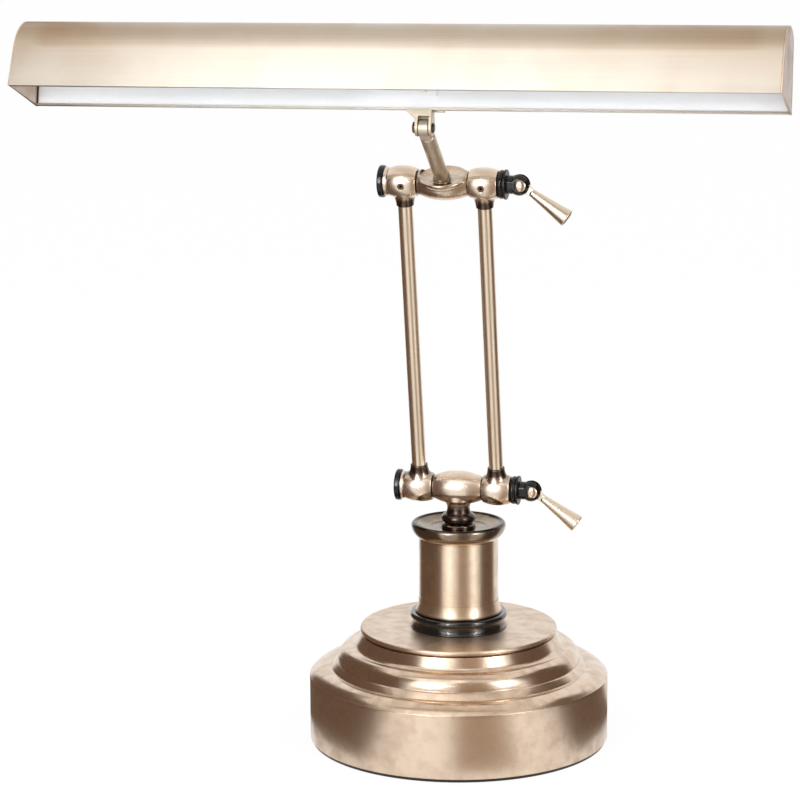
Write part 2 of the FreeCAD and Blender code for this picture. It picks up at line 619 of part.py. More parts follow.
def base_shell():
    """Spun shell with a flat disc on top; holes for the rod, cord inlet and switch."""
    shell = Piece("base_shell", "lamp")
    disc = [
        ("disc_radius - 0.4", "bell_height + 0.5"),
        ("disc_radius", "bell_height + 1.4", "disc_radius - 0.8", "base_height"),
        ("0", "base_height"),
    ]
    shell.turn("Z", bell("0", "pad_thickness") + disc)
    under_disc = [
        ("bell_radius - shell_wall", "base_height - shell_wall"),
        ("0", "base_height - shell_wall"),
    ]
    shell.turn("Z", bell("shell_wall", "0") + under_disc, cut=True)
    hole = Circle("0", "0", "rod_radius + rod_play")
    shell.pad("XY", hole, "2 * base_height", cut=True)
    shell.cut_outward(Circle("0", "inlet_height", "bushing_radius"), "2 * drum_radius", "0")
    switch_hole = Circle("0", "switch_height", "switch_bush_radius + running_fit")
    shell.cut_outward(switch_hole, "2 * drum_radius", "switch_angle")


def base_weight():
    """Iron slab with a middle boss, a nut recess, a flat at the back and a lead groove."""
    weight = Piece("base_weight", "lamp")
    outer = "drum_radius - shell_wall - weight_gap"
    bore = "rod_radius + rod_play"
    weight.turn("Z", [
        ("recess_radius", "pad_thickness"),
        (outer, "pad_thickness"),
        (outer, "weight_height"),
        ("weight_boss_radius", "weight_height"),
        ("weight_boss_radius", "base_height - shell_wall"),
        (bore, "base_height - shell_wall"),
        (bore, "recess_top"),
        ("recess_radius", "recess_top"),
    ])
    wide = "drum_radius"
    weight.pad("XY", rectangle(f"-{wide}", "weight_flat", wide, wide), "2 * base_height",
               both=True, cut=True)
    half = "groove_width / 2"
    groove = rectangle(f"-{half}", "0", half, "drum_radius")
    weight.pad("XY", groove, "2 * (pad_thickness + groove_width)", both=True, cut=True)


def rod_and_nut():
    """Hollow threaded rod through the base and column, and its nut below."""
    rod = Piece("threaded_rod", "lamp")
    rod.turn("Z", ring("rod_bore_radius", "rod_radius", "rod_bottom", "rod_top"))
    nut = Piece("rod_nut", "lamp")
    nut.pad("XY", hexagon("nut_across_flats"), "nut_thickness", offset="nut_bottom")
    nut.turn("Z", ring("0", "rod_radius", "nut_bottom", "washer_bottom"), cut=True)
    washer = Piece("rod_washer", "lamp")
    washer.turn("Z", ring("rod_radius + rod_play", "washer_radius", "washer_bottom", "recess_top"))


def cord_bushing():
    """Snap-in bushing in the drum's back wall; its axis is Y at the inlet's height."""
    inside = "drum_radius - shell_wall"
    seat = "drum_radius + running_fit"
    bushing = Piece("cord_bushing", "inlet")
    bushing.turn("Y", [
        ("inlet_bore_radius", f"{seat} + bushing_flange"),
        ("inlet_bore_radius", "drum_radius - bushing_depth"),
        ("bushing_radius - bushing_lip", "drum_radius - bushing_depth"),
        ("bushing_radius + bushing_lip - 0.2", f"{inside} - 0.9"),
        ("bushing_radius - running_fit", f"{inside} - 0.6"),
        ("bushing_radius - running_fit", seat),
        ("bushing_flange_radius", seat),
        ("bushing_flange_radius", f"{seat} + bushing_flange / 2"),
        ("bushing_flange_radius - 0.9", f"{seat} + bushing_flange"),
    ])


def rotary_switch():
    """Switch housing behind the drum's wall, its nut outside, and the knob on its shaft."""
    front = "drum_radius - shell_wall - 0.6"
    bush_end = f"{front} + switch_bush_length"
    body = Piece("switch_body", "switch")
    half = "switch_width / 2"
    body.pad("XZ", rectangle(f"-{half}", f"-{half}", half, half), "switch_depth",
             offset=f"-({front})")
    body.turn("Y", [
        ("switch_shaft_radius + running_fit", f"{front} - 0.4 * switch_depth"),
        ("switch_bush_radius", f"{front} - 0.4 * switch_depth"),
        ("switch_bush_radius", bush_end),
        ("switch_shaft_radius + running_fit", bush_end),
    ])
    body.turn("Y", [
        ("0", f"{front} - 0.6 * switch_depth"),
        ("switch_shaft_radius + running_fit", f"{front} - 0.6 * switch_depth"),
        ("switch_shaft_radius + running_fit", f"{bush_end} + 1"),
        ("0", f"{bush_end} + 1"),
    ], cut=True)
    nut = Piece("switch_nut", "switch")
    nut.pad("XZ", hexagon("switch_nut_flats"), "switch_nut_thickness",
            offset="-(drum_radius + 0.2 + switch_nut_thickness)")
    nut.turn("Y", rectangle("0", "drum_radius", "switch_bush_radius", "drum_radius + 6"), cut=True)
    knob = Piece("switch_knob", "switch")
    foot = f"{bush_end} + knob_gap"
    tip = f"{foot} + knob_length"
    knob.turn("Y", [
        ("0", f"{front} - 0.5 * switch_depth"),
        ("switch_shaft_radius", f"{front} - 0.5 * switch_depth"),
        ("switch_shaft_radius", foot),
        ("knob_radius - 0.6", foot),
        ("knob_radius", f"{foot} + 0.8"),
        ("knob_radius", f"{tip} - 2"),
        ("knob_radius - 0.3", f"{tip} - 0.5", "knob_radius - 2", tip),
        ("0", f"{tip} - 0.4"),
    ])
    knob.pad("XZ", Circle("knob_radius + flute_radius / 2", "0", "flute_radius"),
             "knob_length + 2", offset=f"-({tip} + 1)", cut=True)
    knob.pattern("PolarPattern", 1, Axis=(knob.origin_feature("Y_Axis"), [""]),
                 Angle=360.0, Occurrences=int(number("flute_count")))


# ---------------------------------------------------------------- column and swivel


def column():
    """Tube standing in a black ring, with a flared foot and a dished cap."""
    outside = "column_radius + column_play"
    feather = f"{outside} + flare_lip"
    black = Piece("column_ring", "lamp")
    black.turn("Z", [
        ("ring_radius - 0.4", "base_height"),
        ("ring_radius - 0.3", "base_height + 0.8"),
        ("ring_radius - ring_waist", "base_height + 0.38 * ring_height",
         "ring_radius - 0.4", "ring_top - 2.6"),
        ("ring_radius + 0.1", "ring_top - 1.3", "ring_radius - 0.7", "ring_top"),
        (outside, "ring_top"),
        (outside, "base_height + ring_ledge"),
        ("column_radius - 2 * column_wall", "base_height + ring_ledge"),
        ("column_radius - 2 * column_wall", "base_height"),
    ])
    foot = Piece("column_foot", "lamp")
    foot.turn("Z", [
        ("column_radius + foot_flare + 0.2", "ring_top"),
        ("column_radius + foot_flare", "ring_top + foot_rim"),
        (f"{feather} + 0.5", "ring_top + 0.48 * foot_height", feather, "ring_top + foot_height"),
        (outside, "ring_top + foot_height"),
        (outside, "ring_top"),
    ])
    tube = Piece("column_tube", "lamp")
    tube.turn("Z", ring("column_radius - column_wall", "column_radius",
                        "base_height + ring_ledge", "column_top"))
    crest = "column_top + cap_height"
    cap = Piece("column_cap", "lamp")
    cap.turn("Z", [
        (feather, "column_top - cap_skirt"),
        (f"{feather} + 0.35", "column_top - 1.6", "column_radius + 1.4", "column_top - 0.9"),
        ("column_radius + 1.8", "column_top - 0.8"),
        ("cap_radius - 0.5", "column_top + 1.4", "cap_radius", "column_top + 3.2"),
        ("cap_radius - 0.2", "column_top + 4.7", "crest_radius", crest),
        ("crest_radius - 0.7", f"{crest} - 0.1", "crest_radius - 1.3", f"{crest} - 0.7"),
        ("dish_radius + 3.4", "dish_floor + 0.8", "dish_radius", "dish_floor"),
        ("socket_radius + running_fit", "dish_floor"),
        ("socket_radius + running_fit", "column_top"),
        (outside, "column_top"),
        (outside, "column_top - cap_skirt"),
    ])


def swivel():
    """Socket on top of the rod, and the hollow spindle and clip that turn in it."""
    socket = Piece("swivel_socket", "lamp")
    bearing = "spindle_radius + running_fit"
    socket.turn("Z", [
        (bearing, "flange_top"),
        ("socket_flange_radius - 0.5", "flange_top"),
        ("socket_flange_radius", "flange_top - 0.5"),
        ("socket_flange_radius", "dish_floor"),
        ("socket_radius", "dish_floor"),
        ("socket_radius", "socket_bottom"),
        ("rod_radius", "socket_bottom"),
        ("rod_radius", "rod_top"),
        ("chamber_radius", "rod_top"),
        ("chamber_radius", "bearing_bottom"),
        (bearing, "bearing_bottom"),
    ])
    spindle = Piece("swivel_spindle", "lamp")
    spindle.turn("Z", ring("spindle_bore_radius", "spindle_radius",
                           "spindle_bottom", "spindle_top"))
    groove = ring("spindle_radius - clip_groove", "spindle_radius + 1", "clip_bottom", "clip_top")
    spindle.turn("Z", groove, cut=True)
    clip = Piece("swivel_clip", "lamp")
    clip.turn("Z", ring("spindle_radius - clip_groove", "clip_radius", "clip_bottom", "clip_top"))


# ---------------------------------------------------------------- knuckles


def football(hub):
    """Barrel-shaped hub about the knuckle's axis."""
    hub.turn("X", [
        ("-hub_half_length", "0"),
        ("-hub_half_length", "hub_end_radius"),
        ("0", "hub_radius", "hub_half_length", "hub_end_radius"),
        ("hub_half_length", "0"),
    ])


def bolt_bore(piece, start, stop):
    """Hole for the clamp bolt along the knuckle's axis."""
    piece.turn("X", sleeve(start, stop, "0", "bore_radius"), cut=True)


def lower_hub():
    """Hub cast in one with the neck and bead that stand on the swivel."""
    hub = Piece("lower_hub", "neck")
    football(hub)
    bottom = "(neck_bottom - knuckle_height)"
    hub.turn("Z", [
        ("0", "0"),
        ("0", bottom),
        ("neck_bead_radius - 2.2", bottom),
        ("neck_bead_radius", f"{bottom} + 0.5 * neck_bead_height",
         "neck_bead_radius - 2.0", f"{bottom} + neck_bead_height"),
        ("waist_radius", "-waist_height", "waist_radius + 1.8", "-waist_height + 4.0"),
        ("waist_radius + 1.8", "-waist_height + 6.8"),
    ])
    seat = ring("0", "spindle_radius", f"{bottom} - 1", "spindle_top - knuckle_height")
    hub.turn("Z", seat, cut=True)
    bolt_bore(hub, "-hub_half_length - 1", "hub_half_length + 1")


def upper_hub():
    """Hub opened above into a wide shallow saucer, with the boss in which the stem is set."""
    hub = Piece("upper_hub", "stem")
    football(hub)
    above = "saucer_height + hub_radius"
    hub.turn("Z", [
        ("0", "0"),
        ("saucer_foot", "saucer_height - saucer_depth"),
        ("saucer_radius - 0.9", "saucer_height - saucer_depth / 2",
         "saucer_radius", "saucer_height - 0.8"),
        ("saucer_radius - 0.2", "saucer_height - 0.2", "saucer_radius - 0.7", "saucer_height"),
        ("0", "saucer_height"),
    ], lean="saucer_lean")
    hub.turn("Z", [
        ("0", "saucer_height - saucer_hollow"),
        ("saucer_hollow_radius", "saucer_height - saucer_hollow"),
        ("(saucer_hollow_radius + saucer_radius - saucer_rim) / 2",
         "saucer_height - 0.7 * saucer_hollow", "saucer_radius - saucer_rim", "saucer_height"),
        ("saucer_radius - saucer_rim", above),
        ("0", above),
    ], cut=True, lean="saucer_lean")
    hub.turn("Z", ring("0", "stem_radius + stem_boss_wall", "0", "stem_boss"))
    hub.turn("Z", ring("0", "stem_radius + tube_fit", "tube_seat", "2 * stem_boss"), cut=True)
    bolt_bore(hub, "-hub_half_length - 1", "hub_half_length + 1")


def barrel(label, frame, side):
    """Barrel beside the hub, with the flared socket that holds an arm tube."""
    piece = Piece(label, frame)
    inner = f"{side} * (barrel_inner - barrel_middle)"
    outer = f"{side} * (barrel_outer - barrel_middle)"
    middle = f"{side} * ((barrel_inner + barrel_outer) / 2 - barrel_middle)"
    piece.turn("X", [
        (inner, "0"),
        (inner, "barrel_end_radius"),
        (middle, "barrel_radius", outer, "barrel_end_radius"),
        (outer, "0"),
    ])
    piece.turn("Z", [
        ("0", "0"),
        ("root_flare", "0"),
        ("root_flare", "root_flare_height"),
        ("root_radius + 0.5", "(root_flare_height + root_height) / 2",
         "root_radius", "root_height"),
        ("0", "root_height"),
    ])
    piece.turn("Z", ring("0", "tube_radius + tube_fit", "tube_seat", "2 * root_height"), cut=True)
    bolt_bore(piece, f"{inner} - {side}", f"{outer} + {side}")
    screw_hole = Circle("0", "0", "set_screw_radius")
    piece.pad("XZ", screw_hole, "2 * barrel_radius", offset="-2 * barrel_radius", cut=True)


def set_screws(label, frame):
    """One grub screw through each barrel to the clamp bolt."""
    screws = Piece(label, frame)
    outer = "(barrel_radius - set_screw_sink)"
    circle = Circle("barrel_middle", "0", "set_screw_radius")
    screws.pad("XZ", circle, f"{outer} - bore_radius", offset=f"-{outer}")
    socket = Circle("barrel_middle", "0", "0.5 * set_screw_radius")
    screws.pad("XZ", socket, "set_screw_radius", offset=f"-{outer}", cut=True)
    screws.pattern("Mirrored", 2, MirrorPlane=(screws.origin_feature("YZ_Plane"), [""]))


def clamp(prefix, frame):
    """Bolt through the knuckle with its capped head, collar, friction ring and washer."""
    bolt = Piece(prefix + "_clamp_bolt", frame)
    bolt.turn("X", [
        ("-collar_outer - bolt_head", "0"),
        ("-collar_outer - bolt_head", "bolt_head_radius"),
        ("-collar_outer", "bolt_head_radius"),
        ("-collar_outer", "bolt_radius"),
        ("bolt_end - bolt_point", "bolt_radius"),
        ("bolt_end", "bolt_radius - bolt_point / 2"),
        ("bolt_end", "0"),
    ])
    collar = Piece(prefix + "_collar", frame)
    collar.turn("X", [
        ("-collar_outer", "bore_radius"),
        ("-collar_outer", "collar_radius - 0.3"),
        ("-collar_outer + 0.3", "collar_radius"),
        ("-barrel_outer - 0.6", "collar_radius"),
        ("-barrel_outer", "barrel_end_radius - 0.3"),
        ("-barrel_outer", "bore_radius"),
    ])
    outer = "-collar_outer - end_cap_length"
    cap = Piece(prefix + "_end_cap", frame)
    cap.turn("X", [
        (outer, "0"),
        (outer, "end_cap_radius - end_cap_round"),
        (f"{outer} + 0.3 * end_cap_round", "end_cap_radius - 0.3 * end_cap_round",
         f"{outer} + end_cap_round", "end_cap_radius"),
        ("-collar_outer - end_cap_round", "end_cap_radius"),
        ("-collar_outer - 0.3 * end_cap_round", "end_cap_radius - 0.3 * end_cap_round",
         "-collar_outer", "end_cap_radius - end_cap_round"),
        ("-collar_outer", "bolt_head_radius + running_fit"),
        ("-collar_outer - bolt_head - running_fit", "bolt_head_radius + running_fit"),
        ("-collar_outer - bolt_head - running_fit", "0"),
    ])
    friction = Piece(prefix + "_friction_ring", frame)
    friction.turn("X", [
        ("barrel_outer", "bore_radius"),
        ("barrel_outer", "barrel_end_radius - 0.6"),
        ("barrel_outer + 0.7", "friction_ring_radius - 0.3"),
        ("(barrel_outer + ring_outer) / 2 + 0.2", "friction_ring_radius",
         "ring_outer - 0.3", "friction_ring_radius - 0.4"),
        ("ring_outer", "friction_ring_radius - 1.0"),
        ("ring_outer", "bore_radius"),
    ])
    washer = Piece(prefix + "_thrust_washer", frame)
    washer.turn("X", sleeve("ring_outer", "ring_outer + thrust_washer",
                            "bore_radius", "thrust_washer_radius"))


def clamp_key(prefix):
    """Black ball with a slot, the pin across it, and the conical lever that folds on the pin."""
    head = Piece(prefix + "_key_head", prefix + "_key")
    reach = "sqrt(key_radius * key_radius - key_base_radius * key_base_radius)"
    head.turn("X", [
        ("key_foot", "0"),
        ("key_foot", "key_base_radius"),
        (f"ball_middle - {reach}", "key_base_radius"),
        ("ball_middle", "key_radius", "ball_middle + key_radius", "0"),
    ])
    wide = "2 * key_radius"
    end = f"ball_middle + {wide}"
    for side in ("1", "-1"):
        cheek = rectangle("key_foot - 1", f"{side} * key_flat", end, f"{side} * {wide}")
        head.pad("XY", cheek, f"2 * {wide}", both=True, cut=True)
    slot = rectangle("pin_station - slot_floor", "-key_slot / 2", end, "key_slot / 2")
    head.pad("XY", slot, f"2 * {wide}", both=True, cut=True)
    head.pad("XZ", Circle("pin_station", "0", "pin_radius"), f"2 * {wide}", both=True, cut=True)
    bolt_bore(head, "key_foot - 1", "pin_station - slot_floor + 1")

    pin = Piece(prefix + "_key_pin", prefix + "_pin")
    outer = "(key_flat + pin_head)"
    pin.turn("Y", [
        ("0", f"-{outer}"),
        ("pin_head_radius - 0.5", f"-{outer}"),
        ("pin_head_radius", f"-{outer} + 0.4"),
        ("pin_head_radius", "-key_flat"),
        ("pin_radius", "-key_flat"),
        ("pin_radius", "key_flat"),
        ("pin_head_radius", "key_flat"),
        ("pin_head_radius", f"{outer} - 0.4"),
        ("pin_head_radius - 0.5", outer),
        ("0", outer),
    ])

    lever = Piece(prefix + "_key_lever", prefix + "_lever")
    tongue = [
        ("0", "tongue_radius"),
        ("-tongue_radius", "0", "0", "-tongue_radius"),
        ("lever_start + 1", "-lever_root_radius + 0.3"),
        ("lever_start + 1", "lever_root_radius - 0.3"),
    ]
    lever.pad("XZ", tongue, "key_slot - 2 * tongue_gap", both=True)
    tip = "(lever_start + lever_length)"
    lever.turn("X", [
        ("lever_start", "0"),
        ("lever_start", "lever_root_radius - 0.4"),
        ("lever_start + 0.4", "lever_root_radius"),
        ("lever_start + lever_length / 2", "(lever_root_radius + lever_end_radius) / 2 - 0.1",
         f"{tip} - 0.5", "lever_end_radius"),
        (tip, "lever_end_radius - 0.4"),
        (f"{tip} - lever_dish", "0.6 * lever_end_radius"),
        (f"{tip} - lever_dish", "0"),
    ])
    eye = Circle("0", "0", "pin_radius + running_fit")
    lever.pad("XZ", eye, "2 * key_slot", both=True, cut=True)


def arm_tubes():
    """Two parallel tubes between the barrels of the two knuckles."""
    for side in ("left", "right"):
        tube = Piece(side + "_arm_tube", "lower_" + side)
        section = ring("tube_radius - tube_wall", "tube_radius",
                       "tube_seat", "arm_length - tube_seat")
        tube.turn("Z", section)


# ---------------------------------------------------------------- stem and tilt bracket


def stem():
    """Stem tube, and the head plugged into it whose eye the tilt screw passes."""
    end = "stem_length - head_length"
    tube = Piece("stem_tube", "stem")
    tube.turn("Z", ring("stem_radius - tube_wall", "stem_radius", "tube_seat", end))
    head = Piece("stem_head", "stem")
    head.turn("Z", [
        ("0", f"{end} - head_plug"),
        ("stem_radius - tube_wall - tube_fit", f"{end} - head_plug"),
        ("stem_radius - tube_wall - tube_fit", end),
        ("stem_radius", end),
        ("eye_width / 2", f"{end} + 1.6"),
        ("0", f"{end} + 1.6"),
    ])
    eye = [
        ("-eye_radius", "stem_length"),
        ("0", "stem_length + eye_radius", "eye_radius", "stem_length"),
        ("stem_radius - 0.6", f"{end} + 0.8"),
        ("-stem_radius + 0.6", f"{end} + 0.8"),
    ]
    head.pad("YZ", eye, "eye_width", both=True)
    head.pad("YZ", Circle("0", "stem_length", "tilt_screw_radius + running_fit"),
             "2 * stem_radius", both=True, cut=True)


def tilt_bracket():
    """Bracket on the shade's back whose two cheeks hold the eye of the stem's head."""
    bracket = Piece("shade_bracket", "pivot")
    wall = "(-lip_back + running_fit)"
    plate = "plate_thickness * wall_run"
    top = "(lip_drop + plate_height)"
    lean = "plate_height * shade_slope"
    under = "lip_drop - lip_gap"
    bracket.pad("YZ", [
        ("-cheek_radius", "0"),
        ("0", "-cheek_radius", "cheek_radius", "0"),
        ("cheek_radius", "bracket_back"),
        (f"{wall} + {plate} - plate_thickness * shade_slope", "lip_drop + plate_thickness"),
        (f"{wall} + {plate} - {lean}", top),
        (f"{wall} - {lean}", top),
        (wall, "lip_drop"),
        (wall, under),
        ("-cheek_radius", under),
    ], "bracket_flare + 2 * flare_shift", both=True)
    deep = "4 * cheek_radius"
    for side in ("1", "-1"):
        narrow = f"{side} * bracket_width / 2"
        wide = f"{side} * bracket_flare / 2 - flare_shift"
        far = f"{side} * (bracket_flare + flare_shift)"
        bracket.pad("XZ", [
            (narrow, "-2 * cheek_radius"),
            (narrow, "flare_start"),
            (wide, under),
            (far, under),
            (far, "-2 * cheek_radius"),
        ], deep, both=True, cut=True)
    half = "bracket_slot / 2"
    slot = rectangle(f"-{half}", "-2 * cheek_radius", half, "slot_height")
    bracket.pad("XZ", slot, deep, both=True, cut=True)
    bore = Circle("0", "0", "tilt_screw_radius")
    bracket.pad("YZ", bore, "2 * bracket_flare", both=True, cut=True)
    bracket.wall_holes("0", "-lip_back", "lip_drop", "bracket_screw_radius", turn="shade_sag")

    screw = Piece("tilt_screw", "pivot")
    cheek = "bracket_width / 2"
    screw.turn("X", [
        (f"-({cheek} + tilt_nut + tilt_tip)", "0"),
        (f"-({cheek} + tilt_nut + tilt_tip)", "tilt_screw_radius"),
        (cheek, "tilt_screw_radius"),
        (cheek, "tilt_head_radius"),
        (f"{cheek} + 0.6 * tilt_head", "tilt_head_radius"),
        (f"{cheek} + tilt_head", "0.7 * tilt_head_radius"),
        (f"{cheek} + tilt_head", "0"),
    ])
    nut = Piece("tilt_nut", "pivot")
    nut.pad("YZ", hexagon("tilt_nut_flats"), "tilt_nut", offset=f"-({cheek} + tilt_nut)")
    nut.turn("X", sleeve(f"-({cheek} + 2 * tilt_nut)", "0", "0", "tilt_screw_radius"), cut=True)

    screws = Piece("bracket_screws", "rear_wall")
    face = "(plate_thickness + running_fit)"
    tip = "(inner_wall + bridge_wall + bracket_screw_tip)"
    for place in ("bracket_screw_low", "bracket_screw_low + bracket_screw_pitch"):
        shank = Circle("0", place, "bracket_screw_radius")
        screws.pad("XZ", shank, f"{face} + {tip}", offset=f"-{face}")
        head = Circle("0", place, "bracket_screw_head")
        screws.pad("XZ", head, "bracket_screw_rise", offset=f"-({face} + bracket_screw_rise)")


# ---------------------------------------------------------------- shade


def trough(inset, bottom):
    """Outline of the trough's section, inset from the outer skin; the lips are at height 0."""
    top = f"(shade_height - {inset})"
    low = f"(mouth_half - {inset} * wall_run - {bottom} * shade_slope)"
    corner = f"(mouth_half - {inset} * wall_run - {top} * shade_slope)"
    bends = []
    for radius in ("shade_rear_round", "shade_front_round"):
        bend = f"({radius} - {inset})"
        tangent = f"({bend} * tan((90 - wall_angle) * 0.5deg))"
        flat = f"({corner} - {tangent})"
        side = f"({corner} + {tangent} * sin(wall_angle * 1deg))"
        side_height = f"{top} - {tangent} * cos(wall_angle * 1deg)"
        middle = f"({flat} + {bend} * cos((90 + wall_angle) * 0.5deg))"
        middle_height = f"{top} - {bend} + {bend} * sin((90 + wall_angle) * 0.5deg)"
        bends.append((side, side_height, middle, middle_height, flat))
    rear, front = bends
    return [
        (f"-{low}", bottom),
        (low, bottom),
        rear[:2],
        (*rear[2:], top),
        (f"-{front[4]}", top),
        (f"-{front[2]}", front[3], f"-{front[0]}", front[1]),
    ]


def folded_sheet(label, outer, inner, foot, length):
    """Trough of folded sheet between two insets from the shade's outer skin."""
    piece = Piece(label, "shade")
    piece.pad("YZ", trough(outer, foot), length, both=True)
    bottom = "0" if foot != "0" else inner
    piece.pad("YZ", trough(inner, bottom), f"2 * ({length})", both=True, cut=True)
    return piece


def shade():
    """Folded trough with hems, soldered end caps and a white reflector inside."""
    length = "shade_length - 2 * shade_wall"
    body = folded_sheet("shade_body", "0", "shade_wall", "0", length)
    mouth = "(mouth_half - shade_hem)"
    opening = rectangle(f"-{mouth}", "-shade_wall", mouth, "2 * shade_wall")
    body.pad("YZ", opening, f"2 * ({length})", both=True, cut=True)
    body.wall_holes("shade_offset", "mouth_half", "0", "bracket_screw_radius + running_fit")
    for name, side in (("left_end_cap", "-1"), ("right_end_cap", "1")):
        cap = Piece(name, "shade")
        place = f"{side} * (shade_length - shade_wall) / 2 - shade_wall / 2"
        cap.pad("YZ", trough("0", "0"), "shade_wall", offset=place)
    foot = "(shade_wall + liner_gap)"
    liner = folded_sheet("reflector", foot, "inner_wall", foot, f"{length} - 2 * liner_end_gap")
    liner.wall_holes("shade_offset", "mouth_half", "0", "bracket_screw_radius + running_fit")


def socket_bridge():
    """Strap on the reflector's back whose turned-out ends carry the two lampholders."""
    bridge = Piece("socket_bridge", "bridge")
    front = "-(inner_wall + bridge_wall)"
    strap = rectangle(front, "bridge_low", "-inner_wall", "bridge_high")
    bridge.pad("YZ", strap, "2 * bridge_half_width", both=True)
    flange = rectangle("-bridge_depth", "bridge_flange", "-inner_wall", "bridge_high")
    for offset in ("-bridge_half_width", "bridge_half_width - bridge_wall"):
        bridge.pad("YZ", flange, "bridge_wall", offset=offset)
    for place in ("bracket_screw_low", "bracket_screw_low + bracket_screw_pitch"):
        hole = Circle("shade_offset", place, "bracket_screw_radius + running_fit")
        bridge.pad("XZ", hole, "4 * inner_wall", both=True, cut=True)


def toward(side, steps):
    """The steps of an outline with their stations along X multiplied by the side, -1 or 1."""
    return [
        tuple(f"{side} * ({text})" if place % 2 == 0 else text for place, text in enumerate(step))
        for step in steps
    ]


def lampholders_and_bulbs():
    """To each side a lampholder and a tubular bulb."""
    bore = "(bulb_cap_radius + holder_clearance)"
    dome = "(glass_end - bulb_radius)"
    for name, side in (("left", "-1"), ("right", "1")):
        holder = Piece(name + "_lampholder", "bulbs")
        holder.turn("X", toward(side, [
            ("bridge_half_width", "0"),
            ("bridge_half_width", "holder_radius - 1"),
            ("bridge_half_width + 1", "holder_radius"),
            ("holder_end - 0.8", "holder_radius"),
            ("holder_end", "holder_radius - 0.8"),
            ("holder_end", bore),
            ("bridge_half_width + holder_base", bore),
            ("bridge_half_width + holder_base", "0"),
        ]))
        cap = Piece(name + "_bulb_cap", "bulbs")
        ridges = []
        for turn in range(4):
            start = f"cap_start + 3.2 + {turn} * thread_pitch"
            ridges += [
                (start, "bulb_cap_radius - thread_depth"),
                (f"{start} + thread_pitch / 2", "bulb_cap_radius"),
            ]
        cap.turn("X", toward(side, [
            ("cap_start", "0"),
            ("cap_start", "contact_radius"),
            ("cap_start + 1.2", "contact_radius"),
            *ridges,
            ("cap_end", "bulb_cap_radius - thread_depth"),
            ("cap_end", "0"),
        ]))
        glass = Piece(name + "_bulb_glass", "bulbs")
        inner = "(bulb_radius - glass_wall)"
        glass.turn("X", toward(side, [
            ("cap_end", "bulb_neck_radius - glass_wall"),
            ("cap_end", "bulb_neck_radius"),
            ("cap_end + 2", "bulb_neck_radius"),
            ("cap_end + 9", "bulb_radius"),
            (dome, "bulb_radius"),
            (f"{dome} + bulb_radius * sin(45deg)", "bulb_radius * cos(45deg)", "glass_end", "0"),
            ("glass_end - glass_wall", "0"),
            (f"{dome} + {inner} * sin(45deg)", f"{inner} * cos(45deg)", dome, inner),
            ("cap_end + 9", inner),
            ("cap_end + 2", "bulb_neck_radius - glass_wall"),
        ]))


# ---------------------------------------------------------------- build, check and write


def knuckles():
    """Barrels, grub screws, clamp bolt and key of the lower and the upper knuckle."""
    for level in ("lower", "upper"):
        for hand, side in (("left", "-1"), ("right", "1")):
            barrel(f"{level}_{hand}_barrel", f"{level}_{hand}", side)
        set_screws(level + "_set_screws", level)
        clamp(level, level)
        clamp_key(level)


base_pad()
base_shell()
base_weight()
rod_and_nut()
cord_bushing()
rotary_switch()
column()
swivel()
lower_hub()
knuckles()
arm_tubes()
upper_hub()
stem()
tilt_bracket()
shade()
socket_bridge()
lampholders_and_bulbs()
doc.recompute()

for item in doc.Objects:
    if "Invalid" in item.State or "Error" in item.State:
        raise RuntimeError(f"{item.Label}: {item.State}")

os.makedirs("parts", exist_ok=True)
bodies = [item for item in doc.Objects if item.TypeId == "PartDesign::Body"]
for body in bodies:
    if body.Shape.isNull() or not body.Shape.isValid():
        raise RuntimeError(f"{body.Label}: bad shape")
    body.Shape.exportStep(f"parts/{body.Label}.step")
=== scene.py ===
"""Looks of the piano lamp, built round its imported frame.

Lengths are in millimetres and angles in degrees until a mesh or an object is made.
Every piece is made in its own frame: turned pieces stand on one of its axes.
"""

import logging
import math
from collections.abc import Sequence
from dataclasses import dataclass
from enum import Enum, IntEnum
from typing import ClassVar

import bmesh
import bpy
from mathutils import Matrix, Vector


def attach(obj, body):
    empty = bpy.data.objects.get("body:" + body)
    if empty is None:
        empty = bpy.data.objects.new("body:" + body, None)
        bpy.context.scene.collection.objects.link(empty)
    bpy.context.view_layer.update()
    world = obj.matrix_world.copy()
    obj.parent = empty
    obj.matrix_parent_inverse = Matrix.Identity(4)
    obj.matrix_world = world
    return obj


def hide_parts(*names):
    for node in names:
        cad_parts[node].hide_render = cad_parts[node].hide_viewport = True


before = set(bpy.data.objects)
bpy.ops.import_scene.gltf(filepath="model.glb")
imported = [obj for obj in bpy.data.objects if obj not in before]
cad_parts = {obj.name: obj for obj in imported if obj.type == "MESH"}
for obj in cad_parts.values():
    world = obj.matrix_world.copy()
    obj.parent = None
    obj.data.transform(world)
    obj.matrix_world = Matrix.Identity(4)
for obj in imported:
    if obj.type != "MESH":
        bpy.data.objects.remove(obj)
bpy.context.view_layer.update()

LOG = logging.getLogger("piano_lamp")

# A millimetre in metres, and a distance that counts as none in either.
MM = 0.001
TINY = 1e-6
# Bend that an outline's corner is rounded from, and the widest that it is rounded as.
SHARP = math.radians(20)
WIDEST = 2.6
# Share of a side that the rounding of one corner may take, and where its points lie.
SIDE_SHARE = 0.45
CORNER_SHARES = (0, 0.25, 0.5, 0.75, 1)
# Angle from which two faces keep an edge between them, and the faces that ease such an edge.
CREASE = math.radians(38)
EASING_FACES = 3
# How far one smoothing pass moves a point towards its neighbours.
RUB = 0.5
WHITE = (1.0, 1.0, 1.0, 1.0)

Piece = bpy.types.Object
Tree = bpy.types.NodeTree
Socket = bpy.types.NodeSocket
Step = tuple[float, ...]
Outline = list[Vector]


class Axis(Enum):
    """Axis of a piece's own frame, and the order that brings Z onto it."""

    X = (2, 0, 1)
    Y = (1, 2, 0)
    Z = (0, 1, 2)

    def turn(self, point: Sequence[float]) -> tuple[float, ...]:
        """Point that was laid out about Z, brought to stand about this axis."""
        return tuple(point[place] for place in self.value)


